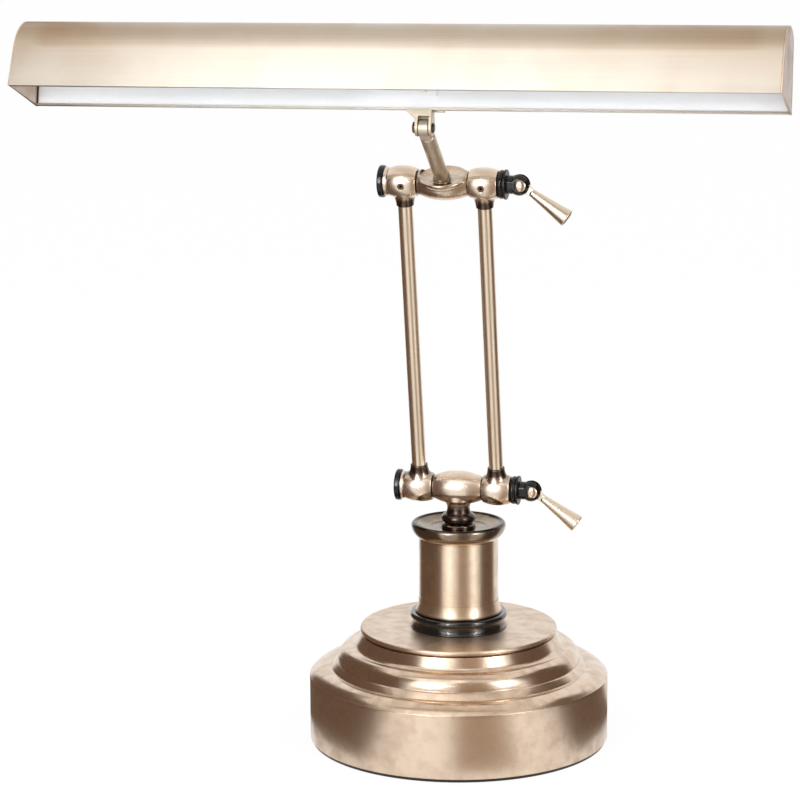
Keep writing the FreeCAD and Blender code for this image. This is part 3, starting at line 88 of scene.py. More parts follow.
class Grain(Enum):
    """Way the brushed lines run."""

    AROUND = "around"
    ALONG = "along"


class Sides(IntEnum):
    """Steps round a turned piece: more of them for a wider one."""

    SHELL = 256
    WIDE = 192
    USUAL = 96
    SMALL = 64
    PIN = 48


class Buffing(Enum):
    """How far a CAD solid is buffed: its mesh size in millimetres and the smoothing passes."""

    NUT = (0.12, 2)
    KNOB = (0.14, 3)
    FITTING = (0.16, 3)
    STEM_HEAD = (0.18, 3)
    SAUCER = (0.2, 3)
    BARREL = (0.25, 5)
    HUB = (0.25, 6)


# ---------------------------------------------------------------- outlines and meshes


def arc(first: Vector, middle: Vector, last: Vector, count: int) -> Outline:
    """Points between the ends of an arc.

    Args:
        first: Start of the arc.
        middle: Any point on it.
        last: End of the arc.
        count: Number of points wanted.

    Returns:
        The points in order, without the two ends.
    """
    a, b, c = (Vector((*point, 0)) for point in (first, middle, last))
    ab, ac = b - a, c - a
    normal = ab.cross(ac)
    centre = a + (ac.length_squared * normal.cross(ab) + ab.length_squared * ac.cross(normal)) / (
        2 * normal.length_squared
    )
    spoke = a - centre
    sweep = spoke.angle(c - centre)
    if spoke.cross(c - centre).dot(normal) < 0:
        sweep = 2 * math.pi - sweep
    turns = (sweep * step / (count + 1) for step in range(1, count + 1))
    return [(centre + Matrix.Rotation(turn, 3, normal) @ spoke).xy for turn in turns]


def outline(steps: Sequence[Step], ease: float = 0.25, fine: int = 14) -> Outline:
    """Closed outline with its sharp corners rounded.

    Args:
        steps: Each is the next corner, or a point on an arc and then the corner.
        ease: Radius given to a sharp corner, where there is room for it.
        fine: Points along each arc.

    Returns:
        The outline's points in order.
    """
    rough: Outline = []
    for place, step in enumerate(steps):
        last = Vector(step[-2:])
        if len(step) == 4:
            rough += arc(Vector(steps[place - 1][-2:]), Vector(step[:2]), last, fine)
        rough.append(last)
    points: Outline = []
    for place, corner in enumerate(rough):
        back = rough[place - 1] - corner
        ahead = rough[(place + 1) % len(rough)] - corner
        bend = math.pi - back.angle(ahead)
        if bend < SHARP or corner.x < TINY:
            points.append(corner)
            continue
        room = SIDE_SHARE * min(back.length, ahead.length)
        reach = min(ease * math.tan(min(bend, WIDEST) / 2), room)
        start, stop = corner + back.normalized() * reach, corner + ahead.normalized() * reach
        points += [
            start * (1 - share) ** 2 + corner * 2 * share * (1 - share) + stop * share**2
            for share in CORNER_SHARES
        ]
    return points


def sleeve(bore: float, radius: float, start: float, stop: float) -> list[Step]:
    """Steps of the section of a plain sleeve, or of a plug where the bore is nought."""
    return [(bore, start), (radius, start), (radius, stop), (bore, stop)]


def linked(name: str, data: bpy.types.ID) -> Piece:
    """New object in the scene, at its origin, for a mesh, a light or a camera.

    Args:
        name: Name of the object.
        data: The mesh, light or camera.

    Returns:
        The new object.
    """
    made = bpy.data.objects.new(name, data)
    bpy.context.scene.collection.objects.link(made)
    return made


def solid(name: str, points: Sequence[Sequence[float]],
          faces: Sequence[Sequence[int]]) -> Piece:
    """Smooth-shaded object with its normals outwards.

    Args:
        name: Name of the piece.
        points: Vertices in millimetres.
        faces: Vertex numbers of each face.

    Returns:
        The new object at its frame's origin.
    """
    mesh = bpy.data.meshes.new(name)
    mesh.from_pydata([Vector(point) * MM for point in points], [], faces)
    work = bmesh.new()
    work.from_mesh(mesh)
    bmesh.ops.recalc_face_normals(work, faces=work.faces)
    work.to_mesh(mesh)
    work.free()
    mesh.shade_smooth()
    mesh.set_sharp_from_angle(angle=CREASE)
    return linked(name, mesh)


def turned(name: str, section: Outline, axis: Axis = Axis.Z,
           sides: int = Sides.USUAL) -> Piece:
    """Piece turned from a closed section.

    Args:
        name: Name of the piece.
        section: Points as distance from the axis and place along it.
        axis: Axis of the piece's frame that it is turned about.
        sides: Number of steps round the piece.

    Returns:
        The new object.
    """
    points: list[tuple[float, ...]] = []
    rings: list[list[int]] = []
    for out, along in section:
        count = sides if out > TINY else 1
        rings.append([len(points) + place for place in range(count)])
        for place in range(count):
            angle = 2 * math.pi * place / sides
            points.append(axis.turn((out * math.cos(angle), out * math.sin(angle), along)))
    faces: list[list[int]] = []
    for ring, other in zip(rings, rings[1:] + rings[:1]):
        for place in range(sides if len(ring) + len(other) > 2 else 0):
            near, far = (
                [line[(place + step) % len(line)] for step in (0, 1)] for line in (ring, other)
            )
            faces.append(list(dict.fromkeys(near + far[::-1])))
    piece = solid(name, points, faces)
    piece.modifiers.new("even_shading", "WEIGHTED_NORMAL").keep_sharp = True
    return piece


def extruded(name: str, section: Outline, start: float, stop: float, cuts: int = 1,
             ease: float = 0.15) -> Piece:
    """Prism of a closed section along X.

    Args:
        name: Name of the piece.
        section: Points as places along Y and Z.
        start: End of the prism nearer to -X.
        stop: Its other end.
        cuts: Number of equal lengths that it is divided into.
        ease: Radius of its sharp edges.

    Returns:
        The new object.
    """
    count = len(section)
    stations = [start + (stop - start) * place / cuts for place in range(cuts + 1)]
    points = [(x, *point) for x in stations for point in section]
    faces = [list(range(count)), list(range(cuts * count, (cuts + 1) * count))]
    for first in range(0, cuts * count, count):
        for place in range(count):
            after = (place + 1) % count
            side = [first + place, first + after]
            faces.append(side + [count + number for number in side[::-1]])
    piece = solid(name, points, faces)
    soften(piece, ease)
    return piece


def soften(piece: Piece, ease: float) -> None:
    """Round a piece's sharp edges.

    Args:
        piece: The piece.
        ease: Width of the rounding.
    """
    edges = piece.modifiers.new("eased_edges", "BEVEL")
    edges.width = ease * MM
    edges.segments = EASING_FACES
    edges.limit_method = "ANGLE"
    edges.angle_limit = CREASE
    edges.harden_normals = True


def settled(piece: Piece) -> Piece:
    """Make a piece's modifiers part of its mesh.

    Args:
        piece: The piece.

    Returns:
        The same object, without modifiers.
    """
    shaped = piece.evaluated_get(bpy.context.evaluated_depsgraph_get())
    mesh = bpy.data.meshes.new_from_object(shaped)
    piece.modifiers.clear()
    piece.data = mesh
    return piece


def cut(piece: Piece, *tools: Piece) -> Piece:
    """Cut the shapes of tools out of a piece.

    Args:
        piece: The piece.
        *tools: Objects to cut it with, which are used up.

    Returns:
        The same piece, cut.
    """
    for tool in tools:
        hole = piece.modifiers.new("hole", "BOOLEAN")
        hole.operation = "DIFFERENCE"
        hole.solver = "EXACT"
        hole.object = tool
    settled(piece)
    for tool in tools:
        bpy.data.objects.remove(tool)
    return piece


def buffed(name: str, node: str, place: Matrix, buffing: Buffing) -> Piece:
    """Copy of a CAD solid with its edges and meeting lines softened, as buffing does.

    Args:
        name: Name of the piece.
        node: CAD node that it is made from.
        place: Frame that the piece is made in.
        buffing: How far its edges are softened.

    Returns:
        The new object, in that frame.
    """
    voxel, passes = buffing.value
    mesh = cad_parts[node].data.copy()
    mesh.materials.clear()
    mesh.transform(place.inverted())
    piece = linked(name, mesh)
    piece.modifiers.new("closed", "WELD").merge_threshold = TINY
    skin = piece.modifiers.new("skin", "REMESH")
    skin.mode = "VOXEL"
    skin.voxel_size = voxel * MM
    skin.use_smooth_shade = True
    rub = piece.modifiers.new("rubbed", "SMOOTH")
    rub.factor = RUB
    rub.iterations = passes
    settled(piece)
    piece.matrix_world = place
    return piece


# ---------------------------------------------------------------- finishes


def linear(code: str) -> tuple[float, float, float, float]:
    """Turn an sRGB colour to a linear one.

    Args:
        code: Hex code such as "#C4AC8C".

    Returns:
        Red, green and blue, and one for alpha.
    """
    shares = [int(code[place : place + 2], 16) / 255 for place in (1, 3, 5)]
    red, green, blue = (
        share / 12.92 if share <= 0.04045 else ((share + 0.055) / 1.055) ** 2.4 for share in shares
    )
    return red, green, blue, 1.0


def add(tree: Tree, kind: str, inputs: dict | None = None,
        stops: Sequence[tuple[float, str]] = (), **settings: object) -> bpy.types.Node:
    """Add a node to a tree.

    Args:
        tree: Tree that gets the node.
        kind: Blender's name for the node.
        inputs: For an input's name or number, a value or the socket that feeds it.
        stops: Places and hex colours of a colour ramp.
        **settings: Attributes of the node.

    Returns:
        The new node.
    """
    node = tree.nodes.new(kind)
    for name, setting in settings.items():
        setattr(node, name, setting)
    for place, (at, code) in enumerate(stops):
        marks = node.color_ramp.elements
        mark = marks[place] if place < len(marks) else marks.new(at)
        mark.position, mark.color = at, linear(code)
    for key, item in (inputs or {}).items():
        if isinstance(item, Socket):
            tree.links.new(item, node.inputs[key])
        else:
            node.inputs[key].default_value = item
    return node


def new_material(name: str) -> bpy.types.Material:
    """Make a node material with no nodes.

    Args:
        name: Name of the material.

    Returns:
        The empty material.
    """
    material = bpy.data.materials.new(name)
    material.use_nodes = True
    material.node_tree.nodes.clear()
    return material


def sum_of(tree: Tree, *parts: tuple[Socket, float], base: float = 0.0,
           clamp: bool = False) -> Socket:
    """Weighted sum of what sockets give.

    Args:
        tree: Tree that the sum is worked out in.
        *parts: Each is a socket and its weight.
        base: Value that the parts are added to.
        clamp: Whether the sum is held between nought and one at each step.

    Returns:
        The socket that gives the sum.
    """
    total: Socket | float = base
    for socket, weight in parts:
        total = add(tree, "ShaderNodeMath", {0: socket, 1: weight, 2: total},
                    operation="MULTIPLY_ADD", use_clamp=clamp).outputs[0]
    return total


@dataclass(frozen=True)
class Finish:
    """What a surface is made of and how it was worked."""

    name: str

    def material(self) -> bpy.types.Material:
        """Make the finish as a Blender material.

        Returns:
            The material, which ends in one Principled shader.
        """
        made = new_material(self.name)
        tree = made.node_tree
        place = add(tree, "ShaderNodeTexCoord").outputs["Object"]
        shader = add(tree, "ShaderNodeBsdfPrincipled", self.inputs(tree, place))
        add(tree, "ShaderNodeOutputMaterial", {"Surface": shader.outputs[0]})
        return made

    def inputs(self, tree: Tree, place: Socket) -> dict[str, object]:
        """Values and sockets for the shader, by its inputs' names: each finish has its own."""
        raise NotImplementedError


@dataclass(frozen=True)
class AntiqueBrass(Finish):
    """Sheet or turned brass, toned brown, brushed back to the metal and lacquered.

    To the eye that is fine lines one way, cloudy brown patches, paler metal where edges are
    rubbed, and brown in the creases: partly toning left there, partly painted shade.
    """

    axis: Axis = Axis.Z
    grain: Grain = Grain.AROUND
    pale: str = "#E2C1A2"
    toned: str = "#8E6B52"
    roughness: float = 0.3
    lacquer: float = 0.25
    lacquer_roughness: float = 0.16
    grain_mm: float = 0.5
    streak_mm: float = 14.0
    patch_mm: float = 11.0
    relief_mm: float = 0.02
    patches: float = 0.45
    lines: float = 0.16
    crease_mm: float = 3.0
    crease_tone_and_shade: float = 0.75
    rubbing: float = 0.5
    stretch: float = 0.0

    # Noise between which a patch of toning starts and is full.
    PATCH: ClassVar[tuple[float, float]] = (0.32, 0.74)
    # Openness at which a crease starts to darken, and is fully dark: partly toning, partly painted
    # shade.
    OPEN: ClassVar[tuple[float, float]] = (0.85, 0.35)
    # Pointiness at which an edge starts to be rubbed, and is rubbed bare.
    POINTED: ClassVar[tuple[float, float]] = (0.52, 0.62)
    # What the lines and the patches add to the roughness.
    LINE_MATTE: ClassVar[float] = 0.12
    PATCH_MATTE: ClassVar[float] = 0.1

    def inputs(self, tree: Tree, place: Socket) -> dict[str, object]:
        """Toned and brushed brass under lacquer.

        Args:
            tree: The material's node tree.
            place: Place on the piece, in its own frame.

        Returns:
            Values and sockets for the shader, by its inputs' names.
        """
        lines = self.brushing(tree, place)
        noise = add(tree, "ShaderNodeTexNoise", {
            "Vector": place, "Scale": 1 / (self.patch_mm * MM), "Detail": 3.0, "Roughness": 0.5,
            "Distortion": 0.3,
        }).outputs["Fac"]
        cloud = add(tree, "ShaderNodeMapRange", {
            "Value": noise, "From Min": self.PATCH[0], "From Max": self.PATCH[1],
        }, interpolation_type="SMOOTHSTEP").outputs[0]
        colour = add(tree, "ShaderNodeMix", {
            "Factor": self.tone(tree, place, cloud, lines),
            "A": linear(self.pale), "B": linear(self.toned),
        }, data_type="RGBA")
        relief = add(tree, "ShaderNodeBump", {
            "Height": lines, "Strength": 0.35, "Distance": self.relief_mm * MM,
        })
        tangent = add(tree, "ShaderNodeTangent", direction_type="RADIAL", axis=self.axis.name)
        matte = ((lines, self.LINE_MATTE), (cloud, self.PATCH_MATTE), *self.gloss(tree, place))
        return {
            "Base Color": colour.outputs["Result"],
            "Metallic": 1.0,
            "Roughness": sum_of(tree, *matte, base=self.roughness - self.LINE_MATTE / 2),
            "Anisotropic": self.stretch,
            "Anisotropic Rotation": 0.25 if self.grain is Grain.AROUND else 0.0,
            "Tangent": tangent.outputs[0],
            "Coat Weight": self.lacquer,
            "Coat Roughness": self.lacquer_roughness,
            "Normal": relief.outputs[0],
        }

    def gloss(self, tree: Tree, place: Socket) -> tuple[tuple[Socket, float], ...]:
        """Further terms of the roughness: none on an evenly finished piece."""
        return ()

    def brushing(self, tree: Tree, place: Socket) -> Socket:
        """Lines of the brush: one value that changes quickly across them and slowly along.

        Args:
            tree: The material's node tree.
            place: Place on the piece.

        Returns:
            The socket that gives the lines.
        """
        parts = add(tree, "ShaderNodeSeparateXYZ", {0: place})
        across, up, along = (parts.outputs[self.axis.value.index(number)] for number in range(3))
        quick, slow = 1 / (self.grain_mm * MM), 1 / (self.streak_mm * MM)
        round_grain = self.grain is Grain.AROUND
        flat = add(tree, "ShaderNodeCombineXYZ", {0: across, 1: up})
        reach = add(tree, "ShaderNodeVectorMath", {0: flat.outputs[0]}, operation="LENGTH")
        sides = slow if round_grain else quick
        stretched = add(tree, "ShaderNodeCombineXYZ", {
            0: sum_of(tree, (across, sides)),
            1: sum_of(tree, (up, sides)),
            2: sum_of(tree, (along, quick if round_grain else slow)),
        })
        inputs = {"Vector": stretched.outputs[0], "Scale": 1.0, "Detail": 3.0, "Roughness": 0.65}
        if round_grain:
            inputs["W"] = sum_of(tree, (reach.outputs["Value"], quick))
        return add(tree, "ShaderNodeTexNoise", inputs, noise_dimensions="4D").outputs["Fac"]

    def tone(self, tree: Tree, place: Socket, cloud: Socket, lines: Socket) -> Socket:
        """Share of brown: patches, lines, creases (toning and painted shade), less what is rubbed
        off edges.

        Args:
            tree: The material's node tree.
            place: Place on the piece.
            cloud: The patches.
            lines: The lines of the brush.

        Returns:
            The socket that gives the share.
        """
        near = add(tree, "ShaderNodeAmbientOcclusion", {"Distance": self.crease_mm * MM}, samples=6)
        edge = add(tree, "ShaderNodeNewGeometry")
        shares = [(cloud, self.patches), (lines, self.lines)]
        # The first term darkens creases by occlusion, partly toning and partly painted shade; the
        # second pales rubbed edges.
        for measure, (start, full), weight in (
            (near.outputs["AO"], self.OPEN, self.crease_tone_and_shade),
            (edge.outputs["Pointiness"], self.POINTED, -self.rubbing),
        ):
            spread = add(tree, "ShaderNodeMapRange", {
                "Value": measure, "From Min": start, "From Max": full,
            })
            shares.append((spread.outputs[0], weight))
        return sum_of(tree, *shares, clamp=True)


@dataclass(frozen=True)
class BandedBrass(AntiqueBrass):
    """Antique brass spun sheet, satin below and on top, its mouldings polished between them."""

    start_mm: float = 33.0
    stop_mm: float = 55.0
    shine: float = 0.15

    # Share of the polished height that each change between satin and polish takes.
    CHANGE: ClassVar[float] = 0.08

    def gloss(self, tree: Tree, place: Socket) -> tuple[tuple[Socket, float], ...]:
        """Less roughness over the mouldings.

        Args:
            tree: The material's node tree.
            place: Place on the piece.

        Returns:
            Terms of the roughness, each a socket and its weight.
        """
        height = add(tree, "ShaderNodeSeparateXYZ", {0: place}).outputs["Z"]
        reach = self.CHANGE * (self.stop_mm - self.start_mm)
        above, below = (
            add(tree, "ShaderNodeMapRange", {
                "Value": height, "From Min": (edge - reach) * MM, "From Max": (edge + reach) * MM,
            }, interpolation_type="SMOOTHSTEP").outputs[0]
            for edge in (self.start_mm, self.stop_mm)
        )
        return (above, -self.shine), (below, self.shine)


@dataclass(frozen=True)
class PaintedShadeBrass(AntiqueBrass):
    """Brass darkened in bands by height: painted shade or dark reflection at a socket, neck or rim.

    Each band is given as the height where it starts, the height where it is full, and its share.
    """

    painted_shades: tuple[tuple[float, float, float], ...] = ()

    def tone(self, tree: Tree, place: Socket, cloud: Socket, lines: Socket) -> Socket:
        """Share of brown, with painted shade added past each band's starting height.

        Args:
            tree: The material's node tree.
            place: Place on the piece.
            cloud: The patches.
            lines: The lines of the brush.

        Returns:
            The socket that gives the share.
        """
        height = add(tree, "ShaderNodeSeparateXYZ", {0: place}).outputs["Z"]
        shares = [(super().tone(tree, place, cloud, lines), 1.0)]
        # Each band adds painted shade or dark reflection by height.
        for start, stop, share in self.painted_shades:
            shade_band = add(tree, "ShaderNodeMapRange", {
                "Value": height, "From Min": start * MM, "From Max": stop * MM,
            }).outputs[0]
            shares.append((shade_band, share))
        return sum_of(tree, *shares, clamp=True)


@dataclass(frozen=True)
class ReflectionPaintedBrass(AntiqueBrass):
    """Antique brass sheet painted paler low down and along its middle, darker at its ends and top.

    The gradients are a painted reflection of the lights and of darker surroundings.
    """

    half_mm: float = 178.0
    low_mm: float = 6.0
    high_mm: float = 36.0

    # Share of the half length that stays evenly pale, as painted reflection of the light.
    EVEN: ClassVar[float] = 0.3
    # Most painted darkening at the ends and at the top, before they are weighed.
    FULL_ENDS: ClassVar[float] = 0.85
    FULL_TOP: ClassVar[float] = 0.8
    # Weights of the plain toning, and of the painted darkening at the ends, the top and the two top
    # corners.
    WEIGHTS: ClassVar[tuple[float, ...]] = (0.35, 0.2, 0.32, 0.6)

    def tone(self, tree: Tree, place: Socket, cloud: Socket, lines: Socket) -> Socket:
        """Share of brown, with painted reflection fading it away from the two ends and downwards.

        Args:
            tree: The material's node tree.
            place: Place on the piece.
            cloud: The patches.
            lines: The lines of the brush.

        Returns:
            The socket that gives the share.
        """
        parts = add(tree, "ShaderNodeSeparateXYZ", {0: place})
        far = add(tree, "ShaderNodeMath", {0: parts.outputs["X"]}, operation="ABSOLUTE")
        ends = add(tree, "ShaderNodeMapRange", {
            "Value": far.outputs[0], "From Min": self.EVEN * self.half_mm * MM,
            "From Max": self.half_mm * MM, "To Max": self.FULL_ENDS,
        }, interpolation_type="SMOOTHSTEP").outputs[0]
        high = add(tree, "ShaderNodeMapRange", {
            "Value": parts.outputs["Z"], "From Min": self.low_mm * MM,
            "From Max": self.high_mm * MM, "To Max": self.FULL_TOP,
        }).outputs[0]
        corners = add(tree, "ShaderNodeMath", {0: ends, 1: high}, operation="MULTIPLY").outputs[0]
        plain = super().tone(tree, place, cloud, lines)
        return sum_of(tree, *zip((plain, ends, high, corners), self.WEIGHTS), clamp=True)


@dataclass(frozen=True)
class GlossEnamel(Finish):
    """Black stoved enamel on turned metal: deep gloss, faint orange peel and a little dust."""

    name: str = "black_stoved_enamel"
    colour: str = "#060505"
    dust: str = "#24201D"
    roughness: float = 0.08
    ior: float = 1.5
    peel_mm: float = 0.9
    relief_mm: float = 0.03
    film_mm: float = 6.0
    coat: float = 0.15
    coat_roughness: float = 0.06

    # Weight of the film of dust in the colour and what is wiped off it, and what it dulls.
    DUSTING: ClassVar[float] = 0.5
    WIPED: ClassVar[float] = 0.16
    DULLING: ClassVar[float] = 0.12

    def inputs(self, tree: Tree, place: Socket) -> dict[str, object]:
        """Black enamel with its peel and dust.

        Args:
            tree: The material's node tree.
            place: Place on the piece, in its own frame.

        Returns:
            Values and sockets for the shader, by its inputs' names.
        """
        peel = add(tree, "ShaderNodeTexNoise", {
            "Vector": place, "Scale": 1 / (self.peel_mm * MM), "Detail": 1.0,
        }).outputs["Fac"]
        film = add(tree, "ShaderNodeTexNoise", {
            "Vector": place, "Scale": 1 / (self.film_mm * MM), "Detail": 5.0, "Roughness": 0.7,
        }).outputs["Fac"]
        colour = add(tree, "ShaderNodeMix", {
            "Factor": sum_of(tree, (film, self.DUSTING), base=-self.WIPED, clamp=True),
            "A": linear(self.colour), "B": linear(self.dust),
        }, data_type="RGBA")
        relief = add(tree, "ShaderNodeBump", {
            "Height": peel, "Strength": 0.12, "Distance": self.relief_mm * MM,
        })
        return {
            "Base Color": colour.outputs["Result"],
            "Roughness": sum_of(tree, (film, self.DULLING), base=self.roughness),
            "IOR": self.ior,
            "Specular IOR Level": 0.35,
            "Coat Weight": self.coat,
            "Coat Roughness": self.coat_roughness,
            "Normal": relief.outputs[0],
        }


@dataclass(frozen=True)
class PlainFinish(Finish):
    """Finish whose colour drifts between two shades over a fine grain.

    One class serves the zinc-plated steel, cast iron, felt, nylon, enamel, aluminium and glass.
    """

    light: str
    dark: str
    roughness: float
    grain_mm: float
    relief_mm: float = 0.01
    metallic: float = 0.0
    ior: float = 1.5
    clear: float = 0.0
    fuzz: float = 0.0
    lines: Axis | None = None

    # Width of a lathe line for its length, and grains to one drift of the colour.
    LINE_WIDTH: ClassVar[float] = 0.05
    DRIFT: ClassVar[int] = 20
    # Weight of the grain and of the drift in the colour, and what is taken off their sum.
    SHADING: ClassVar[float] = 0.6
    LIGHTENING: ClassVar[float] = 0.1
    # What the grain adds to the roughness, and what is taken off for its mean.
    DULLING: ClassVar[float] = 0.15
    MEAN_DULLING: ClassVar[float] = 0.07

    def inputs(self, tree: Tree, place: Socket) -> dict[str, object]:
        """Two shades over a grain, with the lathe's lines where the finish has them.

        Args:
            tree: The material's node tree.
            place: Place on the piece, in its own frame.

        Returns:
            Values and sockets for the shader, by its inputs' names.
        """
        if self.lines:
            stretch = [self.LINE_WIDTH] * 3
            stretch[self.lines.value.index(2)] = 1.0
            place = add(tree, "ShaderNodeMapping", {"Vector": place, "Scale": stretch}).outputs[0]
        grain = add(tree, "ShaderNodeTexNoise", {
            "Vector": place, "Scale": 1 / (self.grain_mm * MM), "Detail": 3.0, "Roughness": 0.6,
        }).outputs["Fac"]
        drift = add(tree, "ShaderNodeTexNoise", {
            "Vector": place, "Scale": 1 / (self.DRIFT * self.grain_mm * MM), "Detail": 2.0,
        }).outputs["Fac"]
        shades = ((grain, self.SHADING), (drift, self.SHADING))
        colour = add(tree, "ShaderNodeMix", {
            "Factor": sum_of(tree, *shades, base=-self.LIGHTENING, clamp=True),
            "A": linear(self.light), "B": linear(self.dark),
        }, data_type="RGBA")
        relief = add(tree, "ShaderNodeBump", {
            "Height": grain, "Strength": 0.4, "Distance": self.relief_mm * MM,
        })
        return {
            "Base Color": colour.outputs["Result"],
            "Metallic": self.metallic,
            "Roughness": sum_of(tree, (grain, self.DULLING),
                                base=self.roughness - self.MEAN_DULLING),
            "IOR": self.ior,
            "Transmission Weight": self.clear,
            "Sheen Weight": self.fuzz,
            "Normal": relief.outputs[0],
        }


# Drawn and brushed tube: long straight lines down its length.
DRAWN_TUBE = AntiqueBrass("drawn_brass_tube", grain=Grain.ALONG, roughness=0.28, streak_mm=40.0,
                          pale="#F6E4CC", toned="#64483A", patches=0.1)
# Spun sheet, brushed on the lathe: rings of fine lines and clouds of toning.
SPUN_SHEET = BandedBrass("spun_brass_sheet", roughness=0.32, pale="#E9D3BC", toned="#8E6C54",
                         patch_mm=7.0, patches=0.28, stretch=0.3)
# Column tube, brushed on the lathe and left satin: fine rings and soft lights down its sides.
SATIN_TUBE = AntiqueBrass("satin_brass_tube", roughness=0.3, grain_mm=0.6, pale="#E8D3BA",
                          toned="#806450", patches=0.3, stretch=0.7)
# Flange of the swivel, polished over deep toning: small bright lights in near-black brown.
POLISHED_MOULDING = AntiqueBrass("polished_brass_moulding", roughness=0.12, pale="#8C7565",
                                 toned="#120B08", patches=0.5, crease_mm=5.0)
# Foot of the column: the tube's satin down to a near-black band of painted shade where it meets the
# ring.
FLARED_FOOT = PaintedShadeBrass("satin_brass_foot", roughness=0.32, grain_mm=0.6, pale="#E8D0B4",
                        toned="#1E120C", patches=0.1, stretch=0.7, crease_mm=1.0,
                        painted_shades=((66.6, 65.5, 0.9),))
# Cap of the column: satin on its sleeve; its grey-brown side, near-black rim and dish are painted
# dark reflection and shade.
DARK_CAP = PaintedShadeBrass("polished_brass_cap", roughness=0.17, pale="#E8D0B4", toned="#120B08",
                     patches=0.15, lines=0.05, crease_mm=3.0,
                     painted_shades=((104.0, 104.25, 0.56), (109.2, 110.3, 0.4)))
# What the knuckles' castings share.
CASTING: dict[str, object] = dict(axis=Axis.X, pale="#F0DDCA", patch_mm=6.0, patches=0.14,
                                  lines=0.1, crease_mm=6.0)
# Cast knuckles turned and buffed: soft satin with rosy lights.
BUFFED_CASTING = AntiqueBrass("buffed_brass_casting", roughness=0.22, toned="#3A241A", **CASTING)
# The barrels, darkened round the sockets for the arm tubes with painted shade.
SOCKET_CASTING = PaintedShadeBrass("buffed_brass_barrel", roughness=0.22, toned="#3A241A",
                           painted_shades=((5.5, 8.5, 0.85),), **CASTING)
# The lower hub, whose neck is darkened with painted shade and dark reflection.
NECK_CASTING = PaintedShadeBrass("buffed_brass_hub", roughness=0.2, toned="#463A35",
                         painted_shades=((-8.0, -10.5, 0.9),), **CASTING)
# The upper hub: a wide crease reach and dark tone paint shade into the dish and under its rim.
DISHED_CASTING = AntiqueBrass("buffed_brass_saucer", axis=Axis.X, roughness=0.2, pale="#E2CDB6",
                              toned="#241510", patch_mm=5.0, patches=0.25, lines=0.1,
                              crease_mm=14.0)
# Bare brass under thick lacquer, matte and greyer.
MATTE_STEM = AntiqueBrass("matte_brass_stem", grain=Grain.ALONG, roughness=0.42, pale="#DCCFBA",
                          toned="#B0A088", patches=0.3, crease_mm=2.0)
# Folded sheet brushed lengthwise, painted pale in its middle and low down as a reflection of the
# light.
FOLDED_SHEET = ReflectionPaintedBrass("folded_brass_sheet", axis=Axis.X, grain=Grain.ALONG, roughness=0.34,
                             pale="#D6CFC4", toned="#A4896C", streak_mm=110.0, patch_mm=30.0,
                             lines=0.8, grain_mm=0.9, stretch=0.5)
# Outside of the end caps: brushed straight, rosier and greyer than the trough.
END_PLATE = AntiqueBrass("brushed_end_plate", axis=Axis.Y, grain=Grain.ALONG, roughness=0.34,
                         pale="#D8C2AE", toned="#8A6C55", patches=0.35)
# Small turned fittings, polished bright.
POLISHED_PIN = AntiqueBrass("polished_brass_fitting", axis=Axis.Y, roughness=0.14, pale="#E6D2BC",
                            toned="#7A5A44", patch_mm=3.0, patches=0.2, crease_mm=1.2)
# Tilt screw, its nut and the grub screws, left as they were toned: nearly black.
DARK_FITTING = AntiqueBrass("dark_toned_fitting", axis=Axis.X, roughness=0.3, pale="#6E5A48",
                            toned="#1E1612", patch_mm=3.0, patches=0.4, crease_mm=1.2)
# Levers, turned and brushed down their length.
LEVER_BRASS = AntiqueBrass("brushed_brass_lever", axis=Axis.X, grain=Grain.ALONG, roughness=0.22,
                           pale="#E8D8C2", toned="#4A3529", patch_mm=8.0, patches=0.05, lines=0.04,
                           crease_mm=1.5)
# Knob of the switch, turned about its shaft.
KNOB_BRASS = AntiqueBrass("turned_brass_knob", axis=Axis.Y, roughness=0.25, pale="#D6BDA6",
                          patch_mm=5.0, crease_mm=1.2)
# Stoved enamel on the end caps, friction rings and balls: black with a soft gloss.
BLACK_ENAMEL = GlossEnamel()
# The same under clear lacquer, on the ring below the column: it takes the lights.
RING_ENAMEL = GlossEnamel("black_lacquered_enamel", coat=0.9)
# Zinc plating on turned steel: pale grey with fine lathe lines.
ZINC_STEEL = PlainFinish("zinc_plated_steel", "#D2D0CC", "#9C9A96", 0.3, 0.3, metallic=1.0,
                         lines=Axis.X)
# Blacked steel of the thrust washers: dark, a little oily.
BLACKED_STEEL = PlainFinish("blacked_steel", "#4A4340", "#221E1C", 0.35, 0.3, metallic=1.0)
# Iron as it left the sand, painted dark: pitted and dull.
CAST_IRON = PlainFinish("painted_cast_iron", "#3A3938", "#232221", 0.65, 1.2, relief_mm=0.2)
# Pressed wool felt: no gloss, a soft edge of fibres.
WOOL_FELT = PlainFinish("black_wool_felt", "#1C1A19", "#0C0B0B", 0.95, 0.4, relief_mm=0.1, fuzz=0.4)
# Moulded nylon: dull black with a fine spark-eroded grain.
NYLON = PlainFinish("moulded_black_nylon", "#1A1A1A", "#0E0E0E", 0.5, 0.25, ior=1.53)
# Stoved white enamel inside the shade: satin, slightly cool, barely uneven.
WHITE_ENAMEL = PlainFinish("stoved_white_enamel", "#ECEDEE", "#DFE0E3", 0.38, 0.8, ior=1.52)
# Soda-lime lamp glass, 0.7 mm thick: clear with the faintest ripple.
LAMP_GLASS = PlainFinish("clear_lamp_glass", "#FFFFFF", "#F4F4F2", 0.08, 4.0, ior=1.52, clear=1.0)
# Drawn aluminium of the bulbs' screw caps: pale warm grey with fine lines round them.
DRAWN_ALUMINIUM = PlainFinish("drawn_aluminium_cap", "#DAD7CE", "#B5B0A2", 0.3, 0.4, metallic=1.0,
                              lines=Axis.X)

# ---------------------------------------------------------------- frames and fitting


